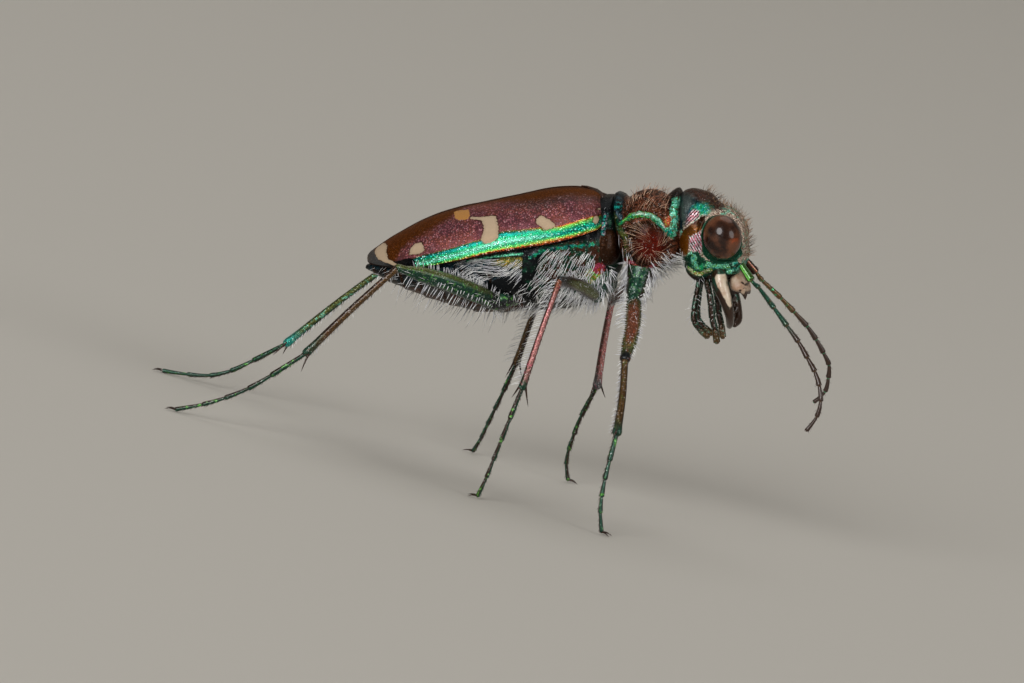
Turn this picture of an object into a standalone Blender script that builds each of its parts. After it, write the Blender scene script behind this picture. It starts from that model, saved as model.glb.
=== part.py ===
"""A tiger beetle at life size, standing high on its six legs with its head raised.

The body is modelled level, in its own frame, and then pitched up over the floor.
The legs are modelled where they stand. +X is the way the beetle faces, +Y its left side
and +Z up from the floor. All sizes are in millimetres until the last step, which turns
them into metres.
"""

import math

import bmesh
import bpy
from mathutils import Matrix, Vector

METRE_PER_MM = 0.001

# Clearance between two pieces that touch
GAP = 0.2

# How the level body is set over the floor: its frame's origin is the waist
BODY_PITCH = math.radians(15.9)
WAIST = Vector((2.06, 0.0, 9.51))

# Moves the finished model so that the middle of its outer box stands over the origin
TO_MIDDLE = Vector((0.79, 0.03, 0.0))

# Thickness of a wing case, and of the thinnest limb that stands alone
SHELL = 0.5
LIMB = 0.5

BODY_PLACE = Matrix.Translation(WAIST) @ Matrix.Rotation(-BODY_PITCH, 4, "Y")

RIGHT, LEFT = -1, 1
SIDE_NAMES = {RIGHT: "right", LEFT: "left"}

# Wing cases, in a frame that slopes down to the rear from their base.
# Each row: way back, height of the side edge, height of the crown, half width
ELYTRA_ORIGIN = Vector((-0.05, 0.0, 0.17))
ELYTRA_SLOPE = math.radians(10.5)
ELYTRA_ROWS = (
    (0.00, 0.12, 1.08, 1.25),
    (0.15, 0.02, 1.24, 1.72),
    (0.45, -0.03, 1.40, 1.95),
    (1.00, -0.09, 1.55, 2.12),
    (1.80, -0.14, 1.63, 2.25),
    (2.90, -0.18, 1.61, 2.38),
    (4.10, -0.17, 1.59, 2.46),
    (5.10, -0.14, 1.56, 2.44),
    (6.10, -0.10, 1.42, 2.27),
    (6.90, -0.03, 1.19, 1.95),
    (7.50, 0.08, 0.98, 1.52),
    (8.00, 0.20, 0.76, 1.02),
    (8.30, 0.29, 0.62, 0.60),
    (8.43, 0.36, 0.50, 0.24),
)

# Trunk pieces, in the level body frame.
# Each row: place of the back line, place of the belly line, half width, where it is widest
# from belly (-1) to back (1)
MESOTHORAX_ROWS = (
    ((0.32, 0.92), (0.46, -0.80), 0.80, 0.0),
    ((0.20, 1.20), (0.44, -1.16), 1.16, -0.1),
    ((0.00, 1.24), (0.20, -1.62), 1.42, -0.1),
    ((-0.28, 1.21), (-0.20, -2.14), 1.62, -0.1),
)
METATHORAX_ROWS = (
    ((-0.20, 1.21), (-0.10, -2.06), 1.58, -0.1),
    ((-0.45, 1.18), (-0.40, -2.32), 1.74, -0.1),
    ((-0.90, 1.10), (-0.90, -2.56), 1.98, 0.0),
    ((-1.60, 0.90), (-1.60, -2.68), 2.13, 0.1),
    ((-2.30, 0.72), (-2.40, -2.72), 2.18, 0.2),
    ((-2.62, 0.62), (-2.90, -2.74), 2.18, 0.25),
)
ABDOMEN_ROWS = (
    ((-2.75, 0.60), (-3.02, -2.74), 2.15, 0.3),
    ((-3.60, 0.45), (-3.80, -2.80), 2.16, 0.3),
    ((-4.40, 0.25), (-4.60, -2.77), 2.14, 0.3),
    ((-5.20, 0.05), (-5.40, -2.56), 2.05, 0.3),
    ((-6.00, -0.20), (-6.20, -2.30), 1.90, 0.3),
    ((-6.80, -0.50), (-7.00, -2.00), 1.60, 0.3),
    ((-7.50, -0.85), (-7.65, -1.70), 1.22, 0.3),
    ((-8.05, -1.05), (-8.15, -1.46), 0.78, 0.2),
    ((-8.42, -1.14), (-8.46, -1.32), 0.34, 0.0),
)
PROTHORAX_ROWS = (
    ((0.18, 1.18), (0.46, -0.70), 1.08, 0.2),
    ((0.28, 1.31), (0.50, -1.00), 1.27, 0.2),
    ((0.52, 1.26), (0.64, -1.20), 1.36, 0.1),
    ((0.74, 1.19), (0.80, -1.38), 1.44, 0.0),
    ((1.09, 1.37), (1.05, -1.52), 1.56, -0.1),
    ((1.54, 1.41), (1.50, -1.52), 1.58, -0.1),
    ((1.92, 1.28), (1.90, -1.34), 1.46, -0.1),
    ((2.12, 1.30), (2.15, -1.18), 1.30, 0.0),
    ((2.40, 1.45), (2.42, -1.05), 1.24, 0.1),
    ((2.50, 1.34), (2.50, -0.92), 1.10, 0.1),
)
HEAD_ROWS = (
    ((2.30, 0.75), (2.35, -0.55), 0.72, 0.0),
    ((2.68, 1.12), (2.60, -0.98), 1.02, 0.0),
    ((2.80, 1.38), (2.62, -1.24), 1.18, 0.1),
    ((3.07, 1.41), (2.70, -1.52), 1.28, 0.1),
    ((3.50, 1.26), (2.92, -1.72), 1.32, 0.1),
    ((3.84, 0.97), (3.20, -1.84), 1.28, 0.1),
    ((4.29, 0.78), (3.50, -1.86), 1.20, 0.2),
    ((4.60, 0.48), (3.80, -1.82), 1.14, 0.2),
    ((4.74, 0.05), (4.08, -1.74), 1.08, 0.1),
    ((4.77, -0.45), (4.28, -1.64), 1.00, 0.0),
    ((4.73, -0.92), (4.40, -1.54), 0.88, 0.0),
    ((4.64, -1.22), (4.46, -1.45), 0.62, 0.0),
)
LABRUM_ROWS = (
    ((4.72, -1.36), (4.36, -1.60), 0.62, 0.0),
    ((4.84, -1.62), (4.34, -1.80), 0.78, 0.0),
    ((4.86, -1.92), (4.38, -2.02), 0.80, 0.0),
    ((4.78, -2.14), (4.44, -2.16), 0.62, 0.0),
)
LABRUM_TOOTH_LENGTH = 0.24
LABRUM_TOOTH_SPACING = 0.36

# Eyes: an egg whose long way is nearly upright
EYE_CENTRE = Vector((4.01, 1.26, -0.16))
EYE_RADII = Vector((0.66, 0.64, 0.76))
EYE_LEAN = math.radians(-9.0)

# Mouthparts of the left side, mirrored for the right: place and radius at each point
MANDIBLE_LINE = (
    ((3.92, 0.66, -1.30), 0.34),
    ((4.00, 0.88, -1.80), 0.36),
    ((4.12, 0.98, -2.30), 0.32),
    ((4.26, 0.86, -2.78), 0.26),
    ((4.32, 0.50, -3.14), 0.20),
    ((4.30, 0.16, -3.36), 0.10),
)
MANDIBLE_TEETH = (
    ((4.16, 0.86, -2.42), (4.14, 0.30, -2.46)),
    ((4.26, 0.78, -2.80), (4.24, 0.30, -2.86)),
)
# The tips cross, so one mandible passes in front of the other
MANDIBLE_OFFSET = 0.16
MAXILLARY_PALP_LINE = (
    ((3.40, 0.72, -1.70), 0.22),
    ((3.52, 0.98, -2.10), 0.20),
    ((3.58, 1.04, -2.52), 0.23),
    ((3.62, 1.04, -2.96), 0.21),
    ((3.70, 1.02, -3.34), 0.23),
    ((3.76, 0.98, -3.74), 0.12),
)
LABIAL_PALP_LINE = (
    ((3.10, 0.34, -1.72), 0.22),
    ((3.02, 0.42, -2.20), 0.20),
    ((2.94, 0.52, -2.74), 0.22),
    ((2.95, 0.58, -3.10), 0.21),
    ((3.14, 0.58, -3.38), 0.23),
    ((3.38, 0.58, -3.60), 0.12),
)

# Antennae: the root and the ends of the eleven segments, in the level body frame
ANTENNA_JOINTS = {
    RIGHT: (
        (4.40, -0.68, -0.84), (4.98, -0.98, -1.68), (5.24, -1.10, -1.92), (5.80, -1.50, -2.59),
        (6.26, -1.78, -3.17), (6.66, -2.00, -3.69), (6.98, -2.20, -4.22), (7.24, -2.36, -4.67),
        (7.40, -2.50, -5.15), (7.45, -2.60, -5.67), (7.31, -2.65, -6.19), (6.96, -2.68, -6.66),
    ),
    LEFT: (
        (4.40, 0.68, -0.84), (4.93, 0.98, -1.56), (5.14, 1.08, -1.84), (5.73, 1.50, -2.48),
        (6.15, 1.78, -2.98), (6.58, 2.00, -3.50), (6.87, 2.20, -3.98), (7.11, 2.36, -4.46),
        (7.28, 2.50, -4.89), (7.25, 2.60, -5.36), (7.12, 2.65, -5.84), (6.73, 2.68, -6.21),
    ),
}
ANTENNA_RADIUS = 0.25
ANTENNA_TIP_RADIUS = 0.14
SCAPE_RADIUS = 0.28

# Legs, where they stand: root in the body, end of the trochanter, knee, end of the shin,
# then the five joints of the foot
LEGS = {
    "front": {
        RIGHT: (
            (3.25, -0.85, 8.50), (3.58, -1.25, 7.65), (4.00, -3.00, 5.72), (4.54, -4.55, 3.41),
            (4.57, -4.85, 2.45), (4.60, -5.00, 1.82), (4.66, -5.10, 1.24), (4.77, -5.16, 0.70),
            (4.98, -5.20, -0.08),
        ),
        LEFT: (
            (3.30, 0.85, 8.60), (3.60, 1.25, 7.80), (2.48, 3.00, 6.86), (2.68, 4.00, 3.68),
            (2.39, 4.30, 2.46), (2.30, 4.45, 1.74), (2.25, 4.60, 1.14), (2.30, 4.70, 0.62),
            (2.50, 4.75, -0.08),
        ),
    },
    "middle": {
        RIGHT: (
            (2.15, -0.90, 8.10), (2.39, -1.45, 7.32), (1.28, -4.35, 7.88), (1.05, -4.78, 4.03),
            (0.93, -4.92, 2.90), (0.85, -5.00, 2.12), (0.77, -5.05, 1.40), (0.70, -5.10, 0.78),
            (0.58, -5.12, -0.08),
        ),
        LEFT: (
            (2.18, 0.90, 8.20), (2.40, 1.45, 7.42), (0.02, 4.10, 7.52), (-0.34, 4.62, 3.60),
            (-0.54, 4.80, 2.48), (-0.68, 4.90, 1.76), (-0.80, 5.00, 1.16), (-0.90, 5.05, 0.64),
            (-1.06, 5.10, -0.08),
        ),
    },
    "hind": {
        RIGHT: (
            (-0.30, -0.95, 6.72), (-0.86, -1.75, 6.24), (-4.18, -4.25, 6.74), (-6.40, -4.65, 3.12),
            (-7.36, -4.80, 2.06), (-7.98, -4.88, 1.44), (-8.66, -4.95, 0.92), (-9.34, -5.02, 0.52),
            (-10.18, -5.08, 0.10),
        ),
        LEFT: (
            (-0.24, 0.95, 6.80), (-0.84, 1.75, 6.33), (-5.27, 2.90, 6.05), (-8.21, 3.30, 2.21),
            (-9.22, 3.32, 1.28), (-9.89, 3.28, 0.72), (-10.55, 3.22, 0.40), (-11.34, 3.20, 0.25),
            (-12.20, 3.18, 0.12),
        ),
    },
}
COXA_RADII = {"front": (0.62, 0.54, 0.36), "middle": (0.60, 0.50, 0.34), "hind": (0.62, 0.50, 0.34)}
FEMUR_RADII = {
    "front": (0.27, 0.33, 0.31, 0.26), "middle": (0.26, 0.31, 0.29, 0.25),
    "hind": (0.27, 0.36, 0.33, 0.25),
}
SHIN_RADIUS, SHIN_END_RADIUS = 0.25, 0.30
FOOT_BASE_RADIUS, FOOT_END_RADIUS = 0.22, 0.27
SPUR_LENGTH, SPUR_RADIUS, SPUR_SPREAD = 0.72, 0.13, 0.55
CLAW_LENGTH, CLAW_RADIUS, CLAW_SPREAD = 0.42, 0.11, 0.55

# Shapes of pieces before their small teeth, spurs and claws, by piece name
BLANKS = {}

# Colour, roughness and metallic value of each finish
FINISHES = {
    "wing_case": ((0.145, 0.040, 0.045), 0.38, 0.45),
    "copper_plate": ((0.200, 0.045, 0.025), 0.40, 0.50),
    "green_plate": ((0.020, 0.130, 0.085), 0.32, 0.60),
    "dark_plate": ((0.025, 0.040, 0.050), 0.40, 0.40),
    "eye": ((0.075, 0.022, 0.012), 0.12, 0.0),
    "ivory": ((0.620, 0.520, 0.400), 0.35, 0.0),
    "horn": ((0.045, 0.025, 0.015), 0.30, 0.1),
    "leg": ((0.070, 0.075, 0.035), 0.35, 0.5),
}


def clear_scene():
    for item in list(bpy.data.objects):
        bpy.data.objects.remove(item, do_unlink=True)


def make_finish(name):
    colour, roughness, metallic = FINISHES[name]
    finish = bpy.data.materials.new(name)
    finish.use_nodes = True
    shader = finish.node_tree.nodes["Principled BSDF"]
    shader.inputs["Base Color"].default_value = (*colour, 1.0)
    shader.inputs["Roughness"].default_value = roughness
    shader.inputs["Metallic"].default_value = metallic
    return finish


def new_object(name, points, faces, finish=None):
    mesh = bpy.data.meshes.new(name)
    mesh.from_pydata([tuple(p) for p in points], [], faces)
    shape = bmesh.new()
    shape.from_mesh(mesh)
    bmesh.ops.recalc_face_normals(shape, faces=shape.faces)
    bmesh.ops.triangulate(shape, faces=[f for f in shape.faces if len(f.verts) > 3])
    shape.to_mesh(mesh)
    shape.free()
    item = bpy.data.objects.new(name, mesh)
    bpy.context.scene.collection.objects.link(item)
    if finish:
        mesh.materials.append(finish)
    return item


def spline(rows, parts):
    """Rows of numbers with `parts` steps from each row to the next, on a Catmull-Rom curve."""
    made = []
    for i in range(len(rows) - 1):
        before, here = rows[max(i - 1, 0)], rows[i]
        there, after = rows[i + 1], rows[min(i + 2, len(rows) - 1)]
        for step in range(parts):
            t = step / parts
            made.append([
                0.5 * (2 * b + (c - a) * t + (2 * a - 5 * b + 4 * c - d) * t**2
                       + (3 * b - a - 3 * c + d) * t**3)
                for a, b, c, d in zip(before, here, there, after)
            ])
    made.append(list(rows[-1]))
    return made


def rounded(value, power):
    return math.copysign(abs(value) ** power, value)


def ring_solid(name, rings, finish=None):
    """A closed solid through rings of like point counts, with a fan on each end."""
    sides = len(rings[0])
    points = [p for ring in rings for p in ring]
    faces = []
    for i in range(len(rings) - 1):
        for k in range(sides):
            a, b = i * sides + k, i * sides + (k + 1) % sides
            faces.append((a, b, b + sides, a + sides))
    for start in (0, (len(rings) - 1) * sides):
        ring = points[start:start + sides]
        points.append(sum((Vector(p) for p in ring), Vector()) / sides)
        centre = len(points) - 1
        faces += [(start + k, start + (k + 1) % sides, centre) for k in range(sides)]
    return new_object(name, points, faces, finish)


def trunk_solid(name, rows, sides, finish, squareness=0.88, parts=1):
    """A trunk piece through upright rings, each from its back line to its belly line."""
    flat_rows = [(*top, *bottom, width, belt) for top, bottom, width, belt in rows]
    rings = []
    for x_top, z_top, x_low, z_low, width, belt in spline(flat_rows, parts):
        middle = Vector(((x_top + x_low) / 2, 0, (z_top + z_low) / 2))
        half = Vector(((x_top - x_low) / 2, 0, (z_top - z_low) / 2))
        ring = []
        for k in range(sides):
            angle = 2 * math.pi * k / sides
            rise = rounded(math.sin(angle), squareness)
            rise += belt * (1 - rise * rise) * 0.6
            across = Vector((0, width * rounded(math.cos(angle), squareness), 0))
            ring.append(middle + half * rise + across)
        rings.append(ring)
    return ring_solid(name, rings, finish)


def tube(name, points, radii, sides, finish=None):
    """A round limb along points, one radius at each."""
    points = [Vector(p) for p in points]
    ways = [(b - a).normalized() for a, b in zip(points, points[1:])]
    tangents = [ways[0]] + [(a + b).normalized() for a, b in zip(ways, ways[1:])] + [ways[-1]]
    side = tangents[0].orthogonal().normalized()
    rings = []
    for point, tangent, radius in zip(points, tangents, radii):
        side = (side - tangent * side.dot(tangent)).normalized()
        other = tangent.cross(side)
        rings.append([
            point + radius * (side * math.cos(a) + other * math.sin(a))
            for a in (2 * math.pi * k / sides for k in range(sides))
        ])
    return ring_solid(name, rings, finish)


def segmented_limb(name, joints, radii, sides, finish=None, waist=0.82):
    """A limb of club-shaped segments, each narrow at its root and wider at its end."""
    points, sizes = [], []
    for a, b, radius in zip(joints, joints[1:], radii):
        a, b = Vector(a), Vector(b)
        points += [a.lerp(b, 0.06), a.lerp(b, 0.94)]
        sizes += [radius * waist, radius]
    return tube(name, points, sizes, sides, finish)


def only_largest(item):
    """Keeps the largest closed surface of a mesh."""
    shape = bmesh.new()
    shape.from_mesh(item.data)
    bmesh.ops.remove_doubles(shape, verts=shape.verts, dist=0.0005)
    bmesh.ops.triangulate(shape, faces=shape.faces)
    left, islands = set(shape.verts), []
    while left:
        front, island = [left.pop()], set()
        while front:
            corner = front.pop()
            island.add(corner)
            for edge in corner.link_edges:
                other = edge.other_vert(corner)
                if other in left:
                    left.remove(other)
                    front.append(other)
        islands.append(island)

    def volume(island):
        faces = {f for v in island for f in v.link_faces}
        return abs(sum(f.verts[0].co.dot(f.verts[1].co.cross(f.verts[2].co)) for f in faces))

    islands.sort(key=volume)
    bmesh.ops.delete(shape, geom=[v for i in islands[:-1] for v in i], context="VERTS")
    shape.to_mesh(item.data)
    shape.free()


def volume_of(mesh):
    shape = bmesh.new()
    shape.from_mesh(mesh)
    volume = shape.calc_volume()
    shape.free()
    return volume


def combined(item, operation, other):
    """Applies one Boolean. The other shape is an object or a collection of them."""
    finish = list(item.data.materials)
    before = volume_of(item.data)
    for solver in ("EXACT", "MANIFOLD"):
        change = item.modifiers.new("change", "BOOLEAN")
        change.operation = operation
        change.solver = solver
        if isinstance(other, bpy.types.Collection):
            change.operand_type = "COLLECTION"
            change.collection = other
        else:
            change.object = other
        bpy.context.view_layer.update()
        graph = bpy.context.evaluated_depsgraph_get()
        mesh = bpy.data.meshes.new_from_object(item.evaluated_get(graph))
        item.modifiers.clear()
        if 0.2 * before < volume_of(mesh) < 1.5 * before:
            break
    item.data = mesh
    mesh.materials.clear()
    for each in finish:
        mesh.materials.append(each)
    mesh.polygons.foreach_set("material_index", [0] * len(mesh.polygons))
    only_largest(item)


def joined(item, pieces):
    """Unites closed pieces with the item in one Boolean and drops them.

    The plain shape is kept among the blanks, to cut clearance with.
    """
    BLANKS[item.name] = item.copy()
    BLANKS[item.name].data = item.data.copy()
    group = bpy.data.collections.new(item.name + "_pieces")
    bpy.context.scene.collection.children.link(group)
    for piece in pieces:
        bpy.context.scene.collection.objects.unlink(piece)
        group.objects.link(piece)
    combined(item, "UNION", group)
    for piece in pieces:
        bpy.data.objects.remove(piece, do_unlink=True)
    bpy.data.collections.remove(group)
    return item


def grown(item, distance=GAP):
    """A copy of a solid, larger by a distance all round, to cut clearance with."""
    cutter = item.copy()
    cutter.data = item.data.copy()
    cutter.name = item.name + "_clearance"
    bpy.context.scene.collection.objects.link(cutter)
    shape = bmesh.new()
    shape.from_mesh(cutter.data)
    moves = [v.normal * distance * min(v.calc_shell_factor(), 1.5) for v in shape.verts]
    for corner, move in zip(shape.verts, moves):
        corner.co += move
    shape.to_mesh(cutter.data)
    shape.free()
    return cutter


def mirrored(point, side):
    return Vector((point[0], point[1] * side, point[2]))


def elytron(side, finish, grow=0.0):
    """One wing case: a curved shell from the seam on the back to the side edge.

    With `grow` it is that much larger all round, which cuts its clearance.
    """
    arc = 11
    rings = []
    rows = [list(row) for row in ELYTRA_ROWS]
    rows[0][0] -= grow
    rows[-1][0] += grow
    for back, edge, crown, width in rows:
        height = crown - edge
        sizes = (
            (width + grow, height + grow, edge - grow),
            (max(width - SHELL, width * 0.35) - grow, max(height - SHELL, height * 0.35) - grow, edge - grow),
        )
        ring = []
        for wide, high, low in sizes:
            wide, high = max(wide, 0.03), max(high, 0.03)
            seam = min(GAP / 2, wide * 0.3) - grow
            turn = []
            for k in range(arc):
                angle = math.pi / 2 * (1 - k / (arc - 1))
                across = seam + (wide - seam) * rounded(math.cos(angle), 0.86)
                up = low + (high + edge - low) * rounded(math.sin(angle), 0.92)
                turn.append(Vector((-back, side * across, up)))
            ring += turn if not ring else turn[::-1]
        rings.append(ring)
    points = [p for ring in rings for p in ring]
    count = 2 * arc
    faces = []
    for i in range(len(rings) - 1):
        for k in range(count):
            a, b = i * count + k, i * count + (k + 1) % count
            faces.append((a, b, b + count, a + count))
    for start in (0, (len(rings) - 1) * count):
        for k in range(arc - 1):
            faces.append((start + k, start + k + 1, start + count - 2 - k, start + count - 1 - k))
    item = new_object("elytron_" + SIDE_NAMES[side], points, faces, finish)
    slope = Matrix.Rotation(-ELYTRA_SLOPE, 4, "Y")
    item.data.transform(Matrix.Translation(ELYTRA_ORIGIN) @ slope)
    return item


def abdomen(finish):
    """The hind body, with a low step at the rear edge of each belly plate."""
    step = 0.035
    rows = []
    for i, row in enumerate(spline([(*a, *b, w, t) for a, b, w, t in ABDOMEN_ROWS], 2)):
        swell = step if i % 2 == 0 else 0.0
        rows.append(((row[0], row[1]), (row[2], row[3] - swell), row[4] + swell, row[5]))
    return trunk_solid("abdomen", rows, 26, finish)


def eye(side, finish):
    rings, turns, sides = [], 10, 20
    for i in range(1, turns):
        polar = math.pi * i / turns
        rings.append([
            Vector((math.sin(polar) * math.cos(a), math.cos(polar), math.sin(polar) * math.sin(a)))
            for a in (2 * math.pi * k / sides for k in range(sides))
        ])
    item = ring_solid("eye_" + SIDE_NAMES[side], rings, finish)
    size = Matrix.Diagonal((*EYE_RADII, 1.0))
    lean = Matrix.Rotation(EYE_LEAN, 4, "Y")
    item.data.transform(Matrix.Translation(mirrored(EYE_CENTRE, side)) @ lean @ size)
    return item


def labrum(finish):
    item = trunk_solid("labrum", LABRUM_ROWS, 20, finish, squareness=0.7)
    (x_top, z_top), (x_low, z_low) = LABRUM_ROWS[-1][:2]
    root = Vector(((x_top + x_low) / 2, 0, (z_top + z_low) / 2 + 0.15))
    teeth = []
    for k in (-1, 0, 1):
        start = root + Vector((0, k * LABRUM_TOOTH_SPACING, 0))
        end = start + Vector((0, 0, -LABRUM_TOOTH_LENGTH - 0.15))
        teeth.append(tube("tooth", (start, end), (0.16, 0.05), 6))
    return joined(item, teeth)


def mandible(side, finish):
    points = [mirrored(p, side) for p, _ in MANDIBLE_LINE]
    for i, point in enumerate(points):
        point.x += side * MANDIBLE_OFFSET * (i / (len(points) - 1)) ** 2
    shape = spline([(*p, r) for p, (_, r) in zip(points, MANDIBLE_LINE)], 2)
    item = tube("mandible_" + SIDE_NAMES[side], [s[:3] for s in shape], [s[3] for s in shape], 10, finish)
    teeth = [
        tube("tooth", (mirrored(a, side), mirrored(b, side)), (0.15, 0.04), 6)
        for a, b in MANDIBLE_TEETH
    ]
    return joined(item, teeth)


def palp(kind, line, side, finish):
    points = [mirrored(p, side) for p, _ in line]
    name = kind + "_palp_" + SIDE_NAMES[side]
    return tube(name, points, [r for _, r in line], 10, finish)


def antenna(side, finish):
    joints = ANTENNA_JOINTS[side]
    count = len(joints) - 1
    radii = [SCAPE_RADIUS] + [
        ANTENNA_RADIUS + (ANTENNA_TIP_RADIUS - ANTENNA_RADIUS) * max(0, k - count + 3) / 2
        for k in range(1, count)
    ]
    return segmented_limb("antenna_" + SIDE_NAMES[side], joints, radii, 8, finish)


def leg_name(pair, side, piece):
    return "_".join((pair, SIDE_NAMES[side], piece))


def coxa(pair, side, joints, finish):
    """Hip and trochanter: a short cone out of the body."""
    root, end = Vector(joints[0]), Vector(joints[1])
    points = [root, root.lerp(end, 0.45), end]
    return tube(leg_name(pair, side, "coxa"), points, COXA_RADII[pair], 12, finish)


def femur(pair, side, joints, finish):
    start, knee = Vector(joints[1]), Vector(joints[2])
    way = (knee - start).normalized()
    points = [start - way * 0.1, start.lerp(knee, 0.3), start.lerp(knee, 0.6), knee]
    return tube(leg_name(pair, side, "femur"), points, FEMUR_RADII[pair], 12, finish)


def shin(pair, side, joints, finish):
    """Tibia with the two spurs at its end."""
    knee, end = Vector(joints[2]), Vector(joints[3])
    way = (end - knee).normalized()
    across = way.cross(Vector((0, 1, 0))).normalized()
    points = [knee - way * 0.05, knee.lerp(end, 0.5), knee.lerp(end, 0.9), end]
    radii = (SHIN_RADIUS, SHIN_RADIUS, SHIN_END_RADIUS, SHIN_END_RADIUS * 0.9)
    item = tube(leg_name(pair, side, "tibia"), points, radii, 10, finish)
    spurs = []
    for turn in (-1, 1):
        root = end - way * 0.18 + across * turn * 0.12
        tip = root + (way + across * turn * SPUR_SPREAD).normalized() * SPUR_LENGTH
        spurs.append(tube("spur", (root, root.lerp(tip, 0.5), tip), (SPUR_RADIUS, SPUR_RADIUS * 0.8, 0.03), 6))
    return joined(item, spurs)


def foot(pair, side, joints, finish):
    """Tarsus of five segments with two claws, flat where it stands on the floor."""
    points = [Vector(p) for p in joints[3:]]
    radii = [
        FOOT_END_RADIUS + (FOOT_BASE_RADIUS - FOOT_END_RADIUS) * k / 4 for k in range(5)
    ]
    item = segmented_limb(leg_name(pair, side, "tarsus"), points, radii, 10, finish)
    way = (points[-1] - points[-2]).normalized()
    ahead = Vector((way.x, way.y, 0)).normalized()
    across = Vector((-ahead.y, ahead.x, 0))
    claws = []
    for turn in (-1, 1):
        root = points[-1] - way * 0.1
        root.z = max(root.z, CLAW_RADIUS)
        middle = root + (ahead + across * turn * CLAW_SPREAD) * CLAW_LENGTH * 0.6
        tip = middle + (ahead + across * turn * CLAW_SPREAD * 0.4) * CLAW_LENGTH * 0.5
        tip.z = 0.05
        claws.append(tube("claw", (root, middle, tip), (CLAW_RADIUS, CLAW_RADIUS * 0.9, 0.04), 6))
    joined(item, claws)
    corners = [(x, y, z) for x in (-20, 20) for y in (-20, 20) for z in (-2, 0)]
    box = ((0, 1, 3, 2), (4, 5, 7, 6), (0, 1, 5, 4), (2, 3, 7, 6), (0, 2, 6, 4), (1, 3, 7, 5))
    floor = new_object("floor", corners, box)
    combined(item, "DIFFERENCE", floor)
    bpy.data.objects.remove(floor, do_unlink=True)
    return item


def build_trunk(finishes):
    """The pieces of the level body, by name, before their clearances are cut."""
    dark, green = finishes["dark_plate"], finishes["green_plate"]
    made = [
        elytron(RIGHT, finishes["wing_case"]),
        elytron(LEFT, finishes["wing_case"]),
        trunk_solid("mesothorax", MESOTHORAX_ROWS, 26, dark),
        trunk_solid("metathorax", METATHORAX_ROWS, 26, dark),
        abdomen(dark),
        trunk_solid("prothorax", PROTHORAX_ROWS, 28, finishes["copper_plate"]),
        trunk_solid("head", HEAD_ROWS, 28, green),
        labrum(finishes["ivory"]),
    ]
    for side in (RIGHT, LEFT):
        made += [
            eye(side, finishes["eye"]),
            mandible(side, finishes["ivory"]),
            palp("maxillary", MAXILLARY_PALP_LINE, side, finishes["horn"]),
            palp("labial", LABIAL_PALP_LINE, side, finishes["horn"]),
            antenna(side, green),
        ]
    for item in made:
        item.data.transform(BODY_PLACE)
        if item.name in BLANKS:
            BLANKS[item.name].data.transform(BODY_PLACE)
    return {item.name: item for item in made}


def build_legs(finish):
    made = {}
    for pair, sides in LEGS.items():
        for side, joints in sides.items():
            for piece in (coxa, femur, shin, foot):
                item = piece(pair, side, joints, finish)
                made[item.name] = item
    return made


def neighbours_of():
    """Which pieces each piece keeps clear of, in the order in which they are cut."""
    cases = ("elytron_right", "elytron_left")
    order = {
        "mesothorax": cases,
        "metathorax": (*cases, "mesothorax"),
        "abdomen": (*cases, "metathorax"),
        "prothorax": ("mesothorax", *cases),
        "head": ("prothorax", "eye_right", "eye_left"),
        "labrum": ("head",),
    }
    for side in SIDE_NAMES.values():
        order["mandible_" + side] = ("head", "labrum")
    order["mandible_left"] += ("mandible_right",)
    for side in SIDE_NAMES.values():
        order["maxillary_palp_" + side] = ("head", "mandible_" + side)
        order["labial_palp_" + side] = ("head", "maxillary_palp_" + side)
        order["antenna_" + side] = ("head", "eye_" + side, "labrum", "mandible_" + side)
    order["labial_palp_left"] += ("labial_palp_right",)
    trunk_by_pair = {
        "front": ("prothorax", "mesothorax", "head"),
        "middle": ("mesothorax", "metathorax", "prothorax"),
        "hind": ("metathorax", "abdomen"),
    }
    for pair, trunk in trunk_by_pair.items():
        for side in SIDE_NAMES:
            names = [leg_name(pair, side, piece) for piece in ("coxa", "femur", "tibia", "tarsus")]
            case = "elytron_" + SIDE_NAMES[side]
            order[names[0]] = trunk
            order[names[1]] = (names[0], *trunk, case)
            order[names[2]] = (names[1], case)
            order[names[3]] = (names[2],)
    return order


def to_metres(items):
    """Turns millimetres into metres and gives each piece its own origin at its middle."""
    for item in items:
        item.data.transform(Matrix.Scale(METRE_PER_MM, 4) @ Matrix.Translation(TO_MIDDLE))
        corners = [v.co for v in item.data.vertices]
        low = Vector(min(c[k] for c in corners) for k in range(3))
        high = Vector(max(c[k] for c in corners) for k in range(3))
        middle = (low + high) / 2
        item.data.transform(Matrix.Translation(-middle))
        item.location = middle
        item.data.shade_smooth()
        item.data.set_sharp_from_angle(angle=math.radians(40))


def main():
    clear_scene()
    finishes = {name: make_finish(name) for name in FINISHES}
    nodes = build_trunk(finishes)
    nodes.update(build_legs(finishes["leg"]))
    cases = {"elytron_" + side_name: side for side, side_name in SIDE_NAMES.items()}
    cutters = {
        name: elytron(cases[name], None, GAP) if name in cases else grown(BLANKS.get(name, item))
        for name, item in nodes.items()
    }
    for name in cases:
        cutters[name].data.transform(BODY_PLACE)
    for name, neighbours in neighbours_of().items():
        for neighbour in neighbours:
            combined(nodes[name], "DIFFERENCE", cutters[neighbour])
    for cutter in (*cutters.values(), *BLANKS.values()):
        bpy.data.objects.remove(cutter, do_unlink=True)
    to_metres(nodes.values())


main()
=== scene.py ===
"""A tiger beetle at life size, finished: its shell plates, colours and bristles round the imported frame.

Plates are shaped in millimetres, the body's in a level frame with the waist at its origin, and
turned to metres as the last step. +X is the way the beetle faces, +Y its left side.
"""

import math

import bpy
import numpy as np
from mathutils import Matrix, Vector


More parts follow.
